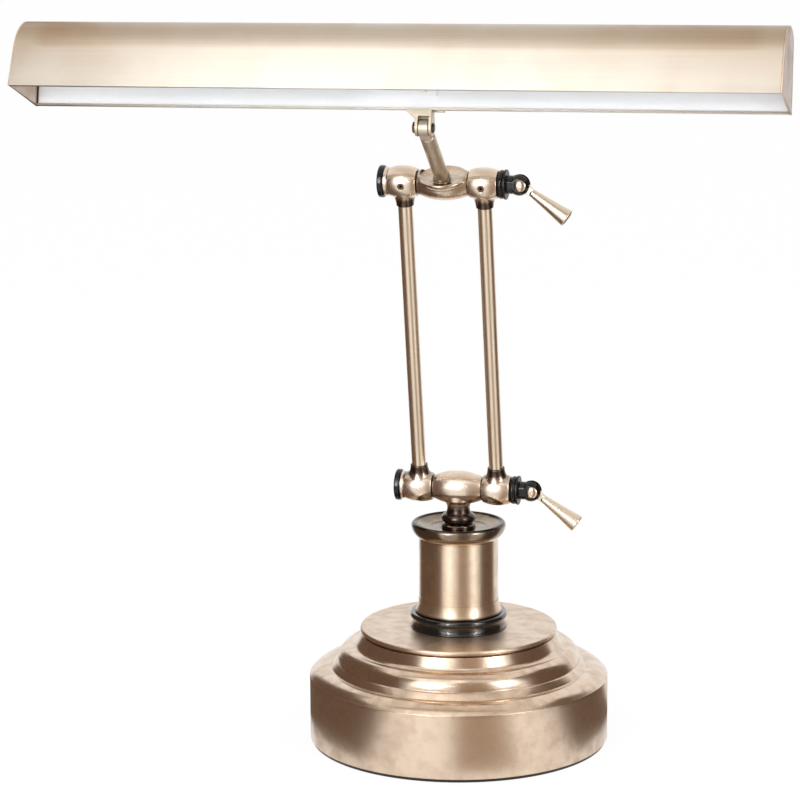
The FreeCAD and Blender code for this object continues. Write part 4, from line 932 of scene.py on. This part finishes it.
def tilted(x: float, y: float, z: float, lean: float = 0.0) -> Matrix:
    """Frame at a place in millimetres, turned about X so that its Z leans to the front."""
    return Matrix.Translation(Vector((x, y, z)) * MM) @ Matrix.Rotation(math.radians(lean), 4, "X")


def backwards(steps: Sequence[Step]) -> list[Step]:
    """Take an open outline from its other end.

    Args:
        steps: The outline's steps.

    Returns:
        Steps of the same outline, last to first.
    """
    ends = [step[-2:] for step in steps]
    pairs = zip(steps[:0:-1], ends[-2::-1])
    return [ends[-1]] + [(*step[:-2], *end) for step, end in pairs]


@dataclass(frozen=True)
class Stance:
    """Places and leans of the lamp's moving frames."""

    knuckle_height: float = 127.5
    tube_spacing: float = 38.6
    arm_length: float = 157.7
    arm_lean: float = 11.3
    stem_length: float = 50.2
    stem_lean: float = 52.4
    shade_tilt: float = 20.0
    shade_offset: float = 10.5
    lip_back: float = 0.4
    lip_drop: float = 8.0
    mouth_half: float = 20.1
    top_half: float = 14.3
    shade_height: float = 35.6
    shade_sag: float = 0.57
    screw_low: float = 10.0
    switch_height: float = 16.5
    switch_angle: float = 32.0

    def swung(self, start: Vector, length: float, lean: float) -> Vector:
        """Point at a distance from another, along a line that leans to the front."""
        angle = math.radians(lean)
        return start + length * Vector((0, -math.sin(angle), math.cos(angle)))

    @property
    def lower(self) -> Vector:
        """Middle of the lower knuckle."""
        return Vector((0, 0, self.knuckle_height))

    @property
    def upper(self) -> Vector:
        """Middle of the upper knuckle."""
        return self.swung(self.lower, self.arm_length, self.arm_lean)

    @property
    def pivot(self) -> Vector:
        """Middle of the tilt pivot."""
        return self.swung(self.upper, self.stem_length, self.stem_lean)

    @property
    def hands(self) -> tuple[tuple[str, Vector], ...]:
        """Name of each side, and the way there from the middle of a knuckle."""
        half = Vector((self.tube_spacing / 2, 0, 0))
        return ("left", -half), ("right", half)

    @property
    def switch(self) -> Matrix:
        """Frame of the switch, with its Y out through the base's wall."""
        turn = Matrix.Rotation(math.radians(self.switch_angle), 4, "Z")
        return turn @ tilted(0, 0, self.switch_height)

    @property
    def lips(self) -> Vector:
        """Middle of the shade's mouth, in the plane of its lips.

        Returns:
            The point in millimetres.
        """
        up = self.swung(self.pivot, self.lip_drop, -self.shade_tilt)
        return self.swung(up, self.mouth_half + self.lip_back, 90 - self.shade_tilt) - Vector(
            (self.shade_offset, 0, 0)
        )

    @property
    def sag(self) -> Matrix:
        """Small turn of the shade about its bracket's lower screw, in the plane of its back.

        Returns:
            The turn, to be made on top of the shade's own frame.
        """
        slope = math.atan((self.mouth_half - self.top_half) / self.shade_height)
        wall = self.swung(Vector(), 1.0, math.degrees(slope) - self.shade_tilt)
        up = self.swung(self.pivot, self.lip_drop, -self.shade_tilt)
        lip = self.swung(up, self.lip_back, 90 - self.shade_tilt)
        screw = Matrix.Translation((lip + self.screw_low * wall) * MM)
        square = Vector((0, -wall.z, wall.y))
        return screw @ Matrix.Rotation(math.radians(self.shade_sag), 4, square) @ screw.inverted()


STANCE = Stance()


@dataclass
class Assembly:
    """Pieces of one part of the lamp that ride on one body."""

    body: str

    def dress(self, piece: Piece, finish: Finish) -> None:
        """Give every surface of a piece its finish.

        Args:
            piece: The piece.
            finish: What it is finished in.
        """
        material = bpy.data.materials.get(finish.name) or finish.material()
        if not piece.material_slots:
            piece.data.materials.append(material)
        for slot in piece.material_slots:
            slot.material = material

    def fit(self, piece: Piece, finish: Finish, slot: str, *nodes: str,
            place: Matrix | None = None) -> Piece:
        """Finish a new piece, put it in its place and let it stand for its CAD nodes.

        Args:
            piece: The new object.
            finish: What it is finished in.
            slot: Material slot named for it; not used.
            *nodes: CAD nodes that it stands for.
            place: Frame that it was made in, unless it is already there.

        Returns:
            The same object.
        """
        if place is not None:
            piece.matrix_world = place
        self.dress(piece, finish)
        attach(piece, self.body)
        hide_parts(*nodes)
        LOG.info("%s stands for %s on %s", piece.name, ", ".join(nodes), self.body)
        return piece

    def keep(self, finish: Finish, *nodes: str) -> None:
        """Keep CAD nodes as they are and finish their surfaces.

        Args:
            finish: What they are finished in.
            *nodes: The nodes.
        """
        for node in nodes:
            self.dress(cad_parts[node], finish)
            LOG.info("%s kept on %s", node, self.body)


# ---------------------------------------------------------------- base and column


@dataclass
class WeightedBase(Assembly):
    """Spun shell over an iron weight on a felt pad, clamped by a threaded rod."""

    body: str = "base"
    radius: float = 73.9
    top: float = 57.5
    wall: float = 1.2
    curve_share: float = 0.85
    pad: float = 1.6
    pad_radius: float = 73.1
    rod_hole: float = 5.05
    inlet_height: float = 13.0
    inlet_radius: float = 4.4
    switch_radius: float = 3.45
    drill_reach: tuple[float, float] = (60.0, 90.0)

    def build(self) -> None:
        """Make and finish every piece of the base."""
        self.fit(self.shell(), SPUN_SHEET, "antique_brass", "base_shell")
        self.fit(self.felt(), WOOL_FELT, "black_felt", "base_pad")
        self.fit(self.bushing(), NYLON, "black_nylon", "cord_bushing",
                 place=tilted(0, 0, self.inlet_height))
        self.keep(CAST_IRON, "base_weight")
        self.keep(ZINC_STEEL, "threaded_rod", "rod_washer", "rod_nut")

    def skin(self, inset: float) -> list[Step]:
        """Steps of the shell's section from its foot to the rod's hole.

        Args:
            inset: Distance inside the outer skin.

        Returns:
            The open outline's steps.
        """
        curve = self.curve_share * inset
        bell: list[Step] = [
            (self.radius, 33.2), (73.1, 34.0), (69.15, 36.75, 63.2, 37.5), (60.8, 40.1),
            (59.9, 40.7), (58.55, 45.25, 54.6, 48.0), (51.9, 48.6, 50.5, 50.0), (48.1, 54.3),
            (47.1, 54.8),
        ]
        insets = (curve, curve, inset, inset)
        shade_band = [
            tuple(size - less for size, less in zip(step, insets[-len(step):])) for step in bell
        ]
        disc: list[Step] = [(48.3, 55.3), (48.7, 56.2, 47.9, self.top)]
        if inset:
            disc = [(45.9, self.top - inset)]
        return [(self.radius - inset, self.pad), *shade_band, *disc, (self.rod_hole, self.top - inset)]

    def shell(self) -> Piece:
        """Spun shell with its holes for the cord and the switch.

        Returns:
            The new object.
        """
        section = outline(self.skin(0.0) + backwards(self.skin(self.wall)), ease=0.35)
        shell = turned("spun_base_shell", section, sides=Sides.SHELL)
        drills = []
        for radius, place in (
            (self.inlet_radius, tilted(0, 0, self.inlet_height)),
            (self.switch_radius, STANCE.switch),
        ):
            bit = outline(sleeve(0, radius, *self.drill_reach))
            drills.append(turned("drill", bit, Axis.Y, Sides.PIN))
            drills[-1].matrix_world = place
        return cut(shell, *drills)

    def felt(self) -> Piece:
        """Pad with a soft cut edge."""
        section = outline(sleeve(0, self.pad_radius, 0, self.pad), ease=0.5)
        return turned("felt_base_pad", section, sides=Sides.WIDE)

    def bushing(self) -> Piece:
        """Snap-in bushing with a rounded flange.

        Returns:
            The new object, about Y.
        """
        section = outline([
            (3.3, 75.75), (3.3, 68.4), (3.7, 68.4), (4.9, 71.8), (4.35, 72.1), (4.35, 73.95),
            (6.6, 73.95), (6.6, 74.85), (6.5, 75.6, 5.7, 75.75),
        ], ease=0.3)
        return turned("moulded_cord_bushing", section, Axis.Y, Sides.SMALL)


@dataclass
class RotarySwitch(Assembly):
    """Switch behind the base's wall, with its nut outside."""

    body: str = "base"

    def build(self) -> None:
        """Make and finish the switch and its knob."""
        self.keep(NYLON, "switch_body")
        nut = buffed("pressed_switch_nut", "switch_nut", STANCE.switch, Buffing.NUT)
        self.fit(nut, ZINC_STEEL, "bright_steel", "switch_nut")
        knob = buffed("fluted_switch_knob", "switch_knob", STANCE.switch, Buffing.KNOB)
        Assembly("switch_knob").fit(knob, KNOB_BRASS, "antique_brass", "switch_knob")


@dataclass
class Column(Assembly):
    """Satin tube between a black ring with a flared foot and a dished cap."""

    body: str = "base"
    foot: float = 57.5
    ring_top: float = 65.1
    flare_top: float = 71.5
    tube_foot: float = 59.0
    tube_top: float = 105.0
    tube_radius: float = 19.5
    tube_bore: float = 18.3
    sleeve_bore: float = 19.55
    sleeve_foot: float = 102.4
    dish: float = 107.5

    def build(self) -> None:
        """Make and finish every piece of the column."""
        self.fit(self.ring(), RING_ENAMEL, "black_enamel", "column_ring")
        self.fit(self.flare(), FLARED_FOOT, "antique_brass", "column_foot")
        self.fit(self.tube(), SATIN_TUBE, "antique_brass", "column_tube")
        self.fit(self.cap(), DARK_CAP, "antique_brass", "column_cap")
        self.fit(self.socket(), POLISHED_MOULDING, "antique_brass", "swivel_socket")

    def ring(self) -> Piece:
        """Black ring with a hollow edge under a rounded bead.

        Returns:
            The new object.
        """
        foot, top, bore, ledge = self.foot, self.ring_top, self.sleeve_bore, self.tube_foot
        return turned("turned_column_ring", outline([
            (23.6, foot), (23.7, 58.3), (22.9, 60.39, 23.6, 62.5), (24.1, 63.8, 23.3, top),
            (bore, top), (bore, ledge), (17.1, ledge), (17.1, foot),
        ], ease=0.35, fine=16), sides=Sides.WIDE)

    def flare(self) -> Piece:
        """Foot that flares from the tube down to the black ring.

        Returns:
            The new object.
        """
        foot, top, bore = self.ring_top, self.flare_top, self.sleeve_bore
        return turned("turned_column_foot", outline([
            (21.8, foot), (21.6, 65.6), (20.25, 68.17, 19.75, top), (bore, top), (bore, foot),
        ], ease=0.15, fine=20), sides=Sides.WIDE)

    def tube(self) -> Piece:
        """Satin tube of the column."""
        steps = sleeve(self.tube_bore, self.tube_radius, self.tube_foot, self.tube_top)
        return turned("satin_column_tube", outline(steps), sides=Sides.WIDE)

    def cap(self) -> Piece:
        """Cap that swells from a flared sleeve to a rounded rim about a dish.

        Returns:
            The new object.
        """
        foot, seat, bore, dish = self.sleeve_foot, self.tube_top, self.sleeve_bore, self.dish
        return turned("turned_column_cap", outline([
            (19.75, foot), (20.1, 103.4, 20.9, 104.1), (21.3, 104.2), (22.7, 106.4, 23.2, 108.2),
            (23.0, 109.7, 21.9, 110.4), (21.2, 110.3, 20.6, 109.7), (18.2, 108.3, 14.8, dish),
            (6.65, dish), (6.65, seat), (bore, seat), (bore, foot),
        ], ease=0.15, fine=18), sides=Sides.WIDE)

    def socket(self) -> Piece:
        """Flange that the neck turns on, and its shank through the cap.

        Returns:
            The new object.
        """
        return turned("turned_swivel_socket", outline([
            (4.05, 109.5), (7.8, 109.5), (8.3, 109.0), (8.3, self.dish), (6.6, self.dish),
            (6.6, 95.0), (4.9, 95.0), (4.9, 100.0), (5.7, 100.0), (5.7, 101.0), (4.05, 101.0),
        ], ease=0.2))


# ---------------------------------------------------------------- knuckles, keys and arm


@dataclass
class Neck(Assembly):
    """Lower hub on the spindle that turns in the column."""

    body: str = "neck"

    def build(self) -> None:
        """Make and finish the hub and its swivel."""
        hub = buffed("cast_lower_hub", "lower_hub", tilted(*STANCE.lower), Buffing.HUB)
        self.fit(hub, NECK_CASTING, "antique_brass", "lower_hub")
        self.keep(ZINC_STEEL, "swivel_spindle", "swivel_clip")


@dataclass
class Knuckle(Assembly):
    """Two barrels about a hub, clamped by a bolt with a black cap at one end."""

    level: str
    middle: Vector
    lean: float
    bolt_hole: float = 2.45

    def build(self) -> None:
        """Make and finish every piece of the knuckle that rides on the arm."""
        level, place, hole = self.level, tilted(*self.middle, self.lean), self.bolt_hole
        for hand, away in STANCE.hands:
            node = f"{level}_{hand}_barrel"
            stand = tilted(*(self.middle + away), self.lean)
            barrel = buffed("cast_" + node, node, stand, Buffing.BARREL)
            self.fit(barrel, SOCKET_CASTING, "antique_brass", node)
        for noun, finish, slot, steps in (
            ("end_cap", BLACK_ENAMEL, "black_enamel", [
                (0, -31.1), (7.0, -31.1), (7.49, -30.89, 7.7, -30.4), (7.7, -29.1),
                (7.49, -28.61, 7.0, -28.4), (5.45, -28.4), (5.45, -29.95), (0, -29.95),
            ]),
            ("collar", BUFFED_CASTING, "antique_brass", [
                (hole, -28.4), (6.6, -28.4), (6.9, -28.1), (6.9, -27.0), (6.3, -26.4),
                (hole, -26.4),
            ]),
            ("friction_ring", BLACK_ENAMEL, "black_enamel", [
                (hole, 26.4), (6.0, 26.4), (6.6, 27.1), (6.9, 28.15, 6.5, 29.2), (5.9, 29.5),
                (hole, 29.5),
            ]),
            ("thrust_washer", BLACKED_STEEL, "bright_steel", sleeve(hole, 7.1, 29.5, 30.5)),
        ):
            node = f"{level}_{noun}"
            piece = turned("turned_" + node, outline(steps, ease=0.2), Axis.X)
            self.fit(piece, finish, slot, node, place=place)
        self.keep(ZINC_STEEL, level + "_clamp_bolt")
        self.keep(DARK_FITTING, level + "_set_screws")


@dataclass
class ClampKey(Assembly):
    """Black ball on the clamp bolt, and the conical lever that folds in its slot."""

    level: str
    middle: Vector
    pin_station: float = 37.3
    lever_angle: float = 35.0

    def build(self) -> None:
        """Make and finish the ball, its pin and the lever."""
        level, pin = self.level, self.middle + Vector((self.pin_station, 0, 0))
        head = buffed(f"slotted_{level}_key_head", level + "_key_head", tilted(*self.middle),
                      Buffing.KNOB)
        self.fit(head, BLACK_ENAMEL, "black_enamel", level + "_key_head")
        rivet = turned(f"domed_{level}_key_pin", outline([
            (0, -4.8), (1.7, -4.7, 2.8, -4.1), (1.3, -4.1), (1.3, 4.1), (2.8, 4.1),
            (1.7, 4.7, 0, 4.8),
        ], ease=0.12), Axis.Y, Sides.PIN)
        self.fit(rivet, POLISHED_PIN, "antique_brass", level + "_key_pin", place=tilted(*pin))
        place = tilted(*pin) @ Matrix.Rotation(math.radians(self.lever_angle), 4, "Y")
        lever = buffed(f"turned_{level}_key_lever", level + "_key_lever", place, Buffing.FITTING)
        Assembly(level + "_lever").fit(lever, LEVER_BRASS, "antique_brass", level + "_key_lever")


@dataclass
class Arm(Assembly):
    """Two drawn tubes between the knuckles."""

    body: str = "arm"
    radius: float = 3.5
    wall: float = 0.8
    seat: float = 3.6

    def build(self) -> None:
        """Make and finish the two tubes."""
        section = outline(sleeve(self.radius - self.wall, self.radius, self.seat,
                                 STANCE.arm_length - self.seat))
        for hand, away in STANCE.hands:
            tube = turned(f"drawn_{hand}_arm_tube", section)
            self.fit(tube, DRAWN_TUBE, "antique_brass", hand + "_arm_tube",
                     place=tilted(*(STANCE.lower + away), STANCE.arm_lean))


@dataclass
class Stem(Assembly):
    """Hub with a dished saucer, and the short stem up to the tilt pivot."""

    body: str = "stem"
    radius: float = 3.55
    bore: float = 2.75
    seat: float = 3.6
    top: float = 43.0

    def build(self) -> None:
        """Make and finish the hub, tube and head."""
        place = tilted(*STANCE.upper, STANCE.stem_lean)
        hub = buffed("cast_upper_hub", "upper_hub", place, Buffing.SAUCER)
        self.fit(hub, DISHED_CASTING, "antique_brass", "upper_hub")
        tube = turned("drawn_stem_tube",
                      outline(sleeve(self.bore, self.radius, self.seat, self.top)))
        self.fit(tube, MATTE_STEM, "antique_brass", "stem_tube", place=place)
        head = buffed("turned_stem_head", "stem_head", place, Buffing.STEM_HEAD)
        self.fit(head, MATTE_STEM, "antique_brass", "stem_head")


# ---------------------------------------------------------------- shade


@dataclass
class TiltBracket(Assembly):
    """Bracket on the shade's back, with the screw that it tilts on."""

    body: str = "shade"

    def build(self) -> None:
        """Make and finish the bracket and its screws."""
        place = tilted(*STANCE.pivot, -STANCE.shade_tilt)
        for name, node, finish in (
            ("pressed_shade_bracket", "shade_bracket", MATTE_STEM),
            ("domed_bracket_screws", "bracket_screws", POLISHED_PIN),
            ("turned_tilt_screw", "tilt_screw", DARK_FITTING),
            ("pressed_tilt_nut", "tilt_nut", DARK_FITTING),
        ):
            self.fit(buffed(name, node, place, Buffing.FITTING), finish, "antique_brass", node)


@dataclass
class TroughShade(Assembly):
    """Folded trough with turned-in hems, flat end caps and a white reflector."""

    body: str = "shade"
    length: float = 356.0
    rear_round: float = 8.6
    front_round: float = 20.0
    wall: float = 0.9
    hem: float = 2.2
    liner_start: float = 1.0
    liner_wall: float = 0.6
    liner_end_gap: float = 0.5
    plate_ease: float = 0.3
    liner_ease: float = 0.1
    body_cuts: int = 48
    liner_cuts: int = 24

    def build(self) -> None:
        """Make and finish the sheets of the shade."""
        place = STANCE.sag @ tilted(*STANCE.lips, -STANCE.shade_tilt)
        half = self.length / 2
        inner = half - self.wall
        fold = outline(self.hemmed(), ease=0)
        body = extruded("folded_shade_body", fold, -inner, inner, self.body_cuts)
        self.fit(body, FOLDED_SHEET, "antique_brass", "shade_body", place=place)
        blank = outline(self.trough(0, 0), ease=0)
        for hand, start, stop in (("left", -half, -inner), ("right", inner, half)):
            plate = extruded(f"flat_{hand}_end_cap", blank, start, stop, ease=self.plate_ease)
            self.fit(plate, END_PLATE, "antique_brass", hand + "_end_cap", place=place)
        reach = inner - self.liner_end_gap
        start = self.liner_start
        sheet = self.trough(start, start) + backwards(self.trough(start + self.liner_wall, start))
        liner = extruded("folded_reflector", outline(sheet, ease=0), -reach, reach,
                         self.liner_cuts, self.liner_ease)
        self.fit(liner, WHITE_ENAMEL, "white_enamel", "reflector", place=place)

    def trough(self, inset: float, foot: float) -> list[Step]:
        """Steps of the trough's section from its rear lip over the top to its front lip.

        Args:
            inset: Distance inside the outer skin.
            foot: Height of the lips.

        Returns:
            The open outline's steps, as places along Y and Z.
        """
        height, half = STANCE.shade_height, STANCE.mouth_half
        slope = (half - STANCE.top_half) / height
        run, lean = math.hypot(1, slope), math.atan(slope)
        top, half_turn = height - inset, (math.pi / 2 + lean) / 2
        low = half - inset * run - foot * slope
        corner = half - inset * run - top * slope
        bends = []
        for radius in (self.rear_round - inset, self.front_round - inset):
            tangent = radius * math.tan((math.pi / 2 - lean) / 2)
            flat = corner - tangent
            bends.append((
                (corner + tangent * math.sin(lean), top - tangent * math.cos(lean)),
                (flat + radius * math.cos(half_turn), top - radius + radius * math.sin(half_turn)),
                flat,
            ))
        (rear_side, rear_middle, rear_flat), (side, middle, flat) = bends
        return [
            (low, foot), rear_side, (*rear_middle, rear_flat, top), (-flat, top),
            (-middle[0], middle[1], -side[0], side[1]), (-low, foot),
        ]

    def hemmed(self) -> list[Step]:
        """Closed outline of the folded sheet with a hem along each lip.

        Returns:
            The outline's steps, as places along Y and Z.
        """
        edge = STANCE.mouth_half - self.hem
        return [
            *self.trough(0, 0), (-edge, 0), (-edge, self.wall),
            *backwards(self.trough(self.wall, self.wall)), (edge, self.wall), (edge, 0),
        ]


@dataclass
class BulbPair(Assembly):
    """Two tubular bulbs in lampholders on a bridge inside the shade."""

    body: str = "shade"

    def build(self) -> None:
        """Finish the bridge, the lampholders and the bulbs."""
        self.keep(WHITE_ENAMEL, "socket_bridge")
        for hand in ("left", "right"):
            self.keep(NYLON, hand + "_lampholder")
            self.keep(DRAWN_ALUMINIUM, hand + "_bulb_cap")
            self.keep(LAMP_GLASS, hand + "_bulb_glass")


# ---------------------------------------------------------------- studio


# Point of the lamp that the lights are aimed at, in metres.
AIM = Vector((0.0, -0.03, 0.17))


@dataclass(frozen=True)
class Softbox:
    """Soft rectangular light aimed at the lamp. Its lengths are in metres."""

    name: str
    azimuth: float
    elevation: float
    distance: float
    width: float
    height: float
    watts: float

    def build(self) -> None:
        """Hang the light in its place."""
        light = bpy.data.lights.new(self.name, "AREA")
        light.shape = "RECTANGLE"
        light.size, light.size_y, light.energy = self.width, self.height, self.watts
        lamp = linked(self.name, light)
        turn, rise = math.radians(self.azimuth), math.radians(self.elevation)
        flat = math.cos(rise)
        away = Vector((math.sin(turn) * flat, -math.cos(turn) * flat, math.sin(rise)))
        lamp.location = AIM + away * self.distance
        lamp.rotation_euler = away.to_track_quat("Z", "Y").to_euler()
        lamp.visible_camera = False


@dataclass(frozen=True)
class Card:
    """Painted card that only reflections see.

    Metal needs something dark to show between its lights.
    """

    name: str
    colour: str
    fade: float

    def paint(self, card: Piece, pattern: str, stops: Sequence[tuple[float, str]],
              size: float = 1.0) -> None:
        """Paint the card and hide it from all but reflections.

        Args:
            card: The card's object.
            pattern: Kind of gradient that its colours follow.
            stops: Places along the gradient and the colours there.
            size: Scale of the gradient.
        """
        material = new_material(self.name)
        tree = material.node_tree
        place = add(tree, "ShaderNodeTexCoord").outputs["Object"]
        sized = add(tree, "ShaderNodeMapping", {"Vector": place, "Scale": (size, size, size)})
        along = add(tree, "ShaderNodeTexGradient", {"Vector": sized.outputs[0]},
                    gradient_type=pattern)
        colour = add(tree, "ShaderNodeValToRGB", {"Fac": along.outputs["Fac"]}, stops)
        glow = add(tree, "ShaderNodeEmission", {"Color": colour.outputs[0], "Strength": 1.0})
        add(tree, "ShaderNodeOutputMaterial", {"Surface": glow.outputs[0]})
        card.data.materials.append(material)
        card.visible_camera = card.visible_diffuse = card.visible_shadow = False
        card.visible_transmission = False


@dataclass(frozen=True)
class TableCard(Card):
    """Card on the table, bent up at its far edge, whose paint fades out to its sides."""

    middle: float
    half: float
    near: float = 88.0
    far: float = 420.0
    gap: float = 1.0
    top: float = 520.0
    steps: int = 12

    def build(self) -> None:
        """Stand the card in its place."""
        bends = ((self.near, self.gap), (self.far, self.gap), (self.far, self.top))
        points, faces = [], []
        for place in range(self.steps + 1):
            turn = math.radians(self.half * (2 * place / self.steps - 1))
            for radius, height in bends:
                points.append((radius * math.cos(turn), radius * math.sin(turn), height))
        for place in range(0, 3 * self.steps, 3):
            for corner in (place, place + 1):
                faces.append([corner, corner + 1, corner + 4, corner + 3])
        card = solid(self.name, points, faces)
        card.matrix_world = Matrix.Rotation(math.radians(self.middle - 90), 4, "Z")
        reach = self.half / 360
        full = reach * (1 - self.fade)
        self.paint(card, "RADIAL", (
            (0.5 - reach, "#FFFFFF"), (0.5 - full, self.colour),
            (0.5 + full, self.colour), (0.5 + reach, "#FFFFFF"),
        ))


@dataclass(frozen=True)
class CeilingCard(Card):
    """Round card overhead, fading out to its rim, that greys the lights on upturned metal.

    Its height and radius are in metres.
    """

    height: float = 1.7
    radius: float = 1.6
    steps: int = 48

    def build(self) -> None:
        """Hang the card in its place."""
        turns = (2 * math.pi * place / self.steps for place in range(self.steps))
        reach = self.radius
        rim = [(math.cos(turn) * reach / MM, math.sin(turn) * reach / MM, 0) for turn in turns]
        card = solid(self.name, rim, [list(range(self.steps))])
        card.matrix_world = Matrix.Translation((0, 0, self.height))
        self.paint(card, "SPHERICAL", ((0.0, "#FFFFFF"), (self.fade, self.colour)), 1 / reach)


@dataclass(frozen=True)
class Camera:
    """Camera a little to the right of the lamp and above it. Its lengths are in metres."""

    place: tuple[float, float, float] = (0.3264, -1.4641, 0.4813)
    turn: float = 0.238352
    drop: float = 0.20376
    roll: float = -0.005074
    lens_mm: float = 141.1
    sensor_mm: float = 36.0
    clip: tuple[float, float] = (0.1, 60.0)

    def build(self) -> None:
        """Set up the camera."""
        lens = bpy.data.cameras.new("camera")
        lens.lens, lens.sensor_width = self.lens_mm, self.sensor_mm
        lens.clip_start, lens.clip_end = self.clip
        view = linked("camera", lens)
        view.matrix_world = (
            Matrix.Translation(self.place)
            @ Matrix.Rotation(self.turn, 4, "Z")
            @ Matrix.Rotation(math.pi / 2 - self.drop, 4, "X")
            @ Matrix.Rotation(self.roll, 4, "Z")
        )
        bpy.context.scene.camera = view


class Studio:
    """Pale floor, white surroundings, soft lights and the camera."""

    FITTINGS = (
        Softbox("left_softbox", -17, 18, 1.25, 0.6, 0.9, 3.5),
        Softbox("left_strip", -14, 18, 1.2, 0.06, 0.9, 2.6),
        Softbox("right_softbox", 60, 18, 1.25, 0.4, 0.9, 2.7),
        Softbox("right_strip", 58, 18, 1.2, 0.06, 0.9, 2.2),
        Softbox("low_bar", 15, 20, 1.25, 1.6, 0.05, 2.0),
        Softbox("shade_softbox", -14, 54, 1.25, 0.9, 0.8, 1.3),
        TableCard("front_card", "#A8927E", 0.35, 26, 19),
        TableCard("left_card", "#6E5A4C", 0.1, -84, 52),
        TableCard("right_card", "#6E5A4C", 0.2, 104, 32),
        CeilingCard("ceiling_card", "#EEE4D6", 0.9),
        Camera(),
    )
    # Half the floor's width, and the share of white in what the camera sees of it.
    FLOOR_HALF = 20000.0
    FLOOR_WHITE = 0.92

    def build(self) -> None:
        """Set up everything round the lamp."""
        self.surroundings()
        self.floor()
        for fitting in self.FITTINGS:
            fitting.build()
        bpy.context.scene.view_settings.view_transform = "Standard"

    def seen_white(self, tree: Tree) -> Socket:
        """One for camera, glossy and transmission rays, nought for the rest.

        Args:
            tree: Tree that it is worked out in.

        Returns:
            The socket that gives it.
        """
        path = add(tree, "ShaderNodeLightPath")
        seen = path.outputs["Is Camera Ray"]
        for ray in ("Is Glossy Ray", "Is Transmission Ray"):
            seen = add(tree, "ShaderNodeMath", {0: seen, 1: path.outputs[ray]},
                       operation="MAXIMUM").outputs[0]
        return seen

    def surroundings(self) -> None:
        """White all round."""
        world = bpy.data.worlds.new("white_surroundings")
        bpy.context.scene.world = world
        world.use_nodes = True
        tree = world.node_tree
        tree.nodes.clear()
        light = add(tree, "ShaderNodeBackground", {"Color": WHITE, "Strength": 1.0})
        add(tree, "ShaderNodeOutputWorld", {"Surface": light.outputs[0]})

    def floor(self) -> None:
        """White floor that keeps the lamp's shadow."""
        material = new_material("white_floor")
        tree = material.node_tree
        paint = add(tree, "ShaderNodeBsdfDiffuse", {"Color": linear("#F4F4F4")})
        glow = add(tree, "ShaderNodeEmission", {"Color": WHITE, "Strength": 1.0})
        share = sum_of(tree, (self.seen_white(tree), self.FLOOR_WHITE))
        mixed = add(tree, "ShaderNodeMixShader", {0: share, 1: paint.outputs[0],
                                                  2: glow.outputs[0]})
        add(tree, "ShaderNodeOutputMaterial", {"Surface": mixed.outputs[0]})
        half = self.FLOOR_HALF
        corners = [(-half, -half, 0), (half, -half, 0), (half, half, 0), (-half, half, 0)]
        sheet = solid("studio_floor", corners, [[0, 1, 2, 3]])
        sheet.data.materials.append(material)


def main() -> None:
    """Build the lamp from the table up, then the studio."""
    logging.basicConfig(level=logging.INFO, format="%(message)s")
    for part in (
        WeightedBase(),
        RotarySwitch(),
        Column(),
        Neck(),
        Knuckle("arm", "lower", STANCE.lower, STANCE.arm_lean),
        Knuckle("arm", "upper", STANCE.upper, STANCE.arm_lean - 180),
        ClampKey("lower_key", "lower", STANCE.lower),
        ClampKey("upper_key", "upper", STANCE.upper),
        Arm(),
        Stem(),
        TiltBracket(),
        TroughShade(),
        BulbPair(),
    ):
        part.build()
    Studio().build()


if __name__ == "__main__":
    main()
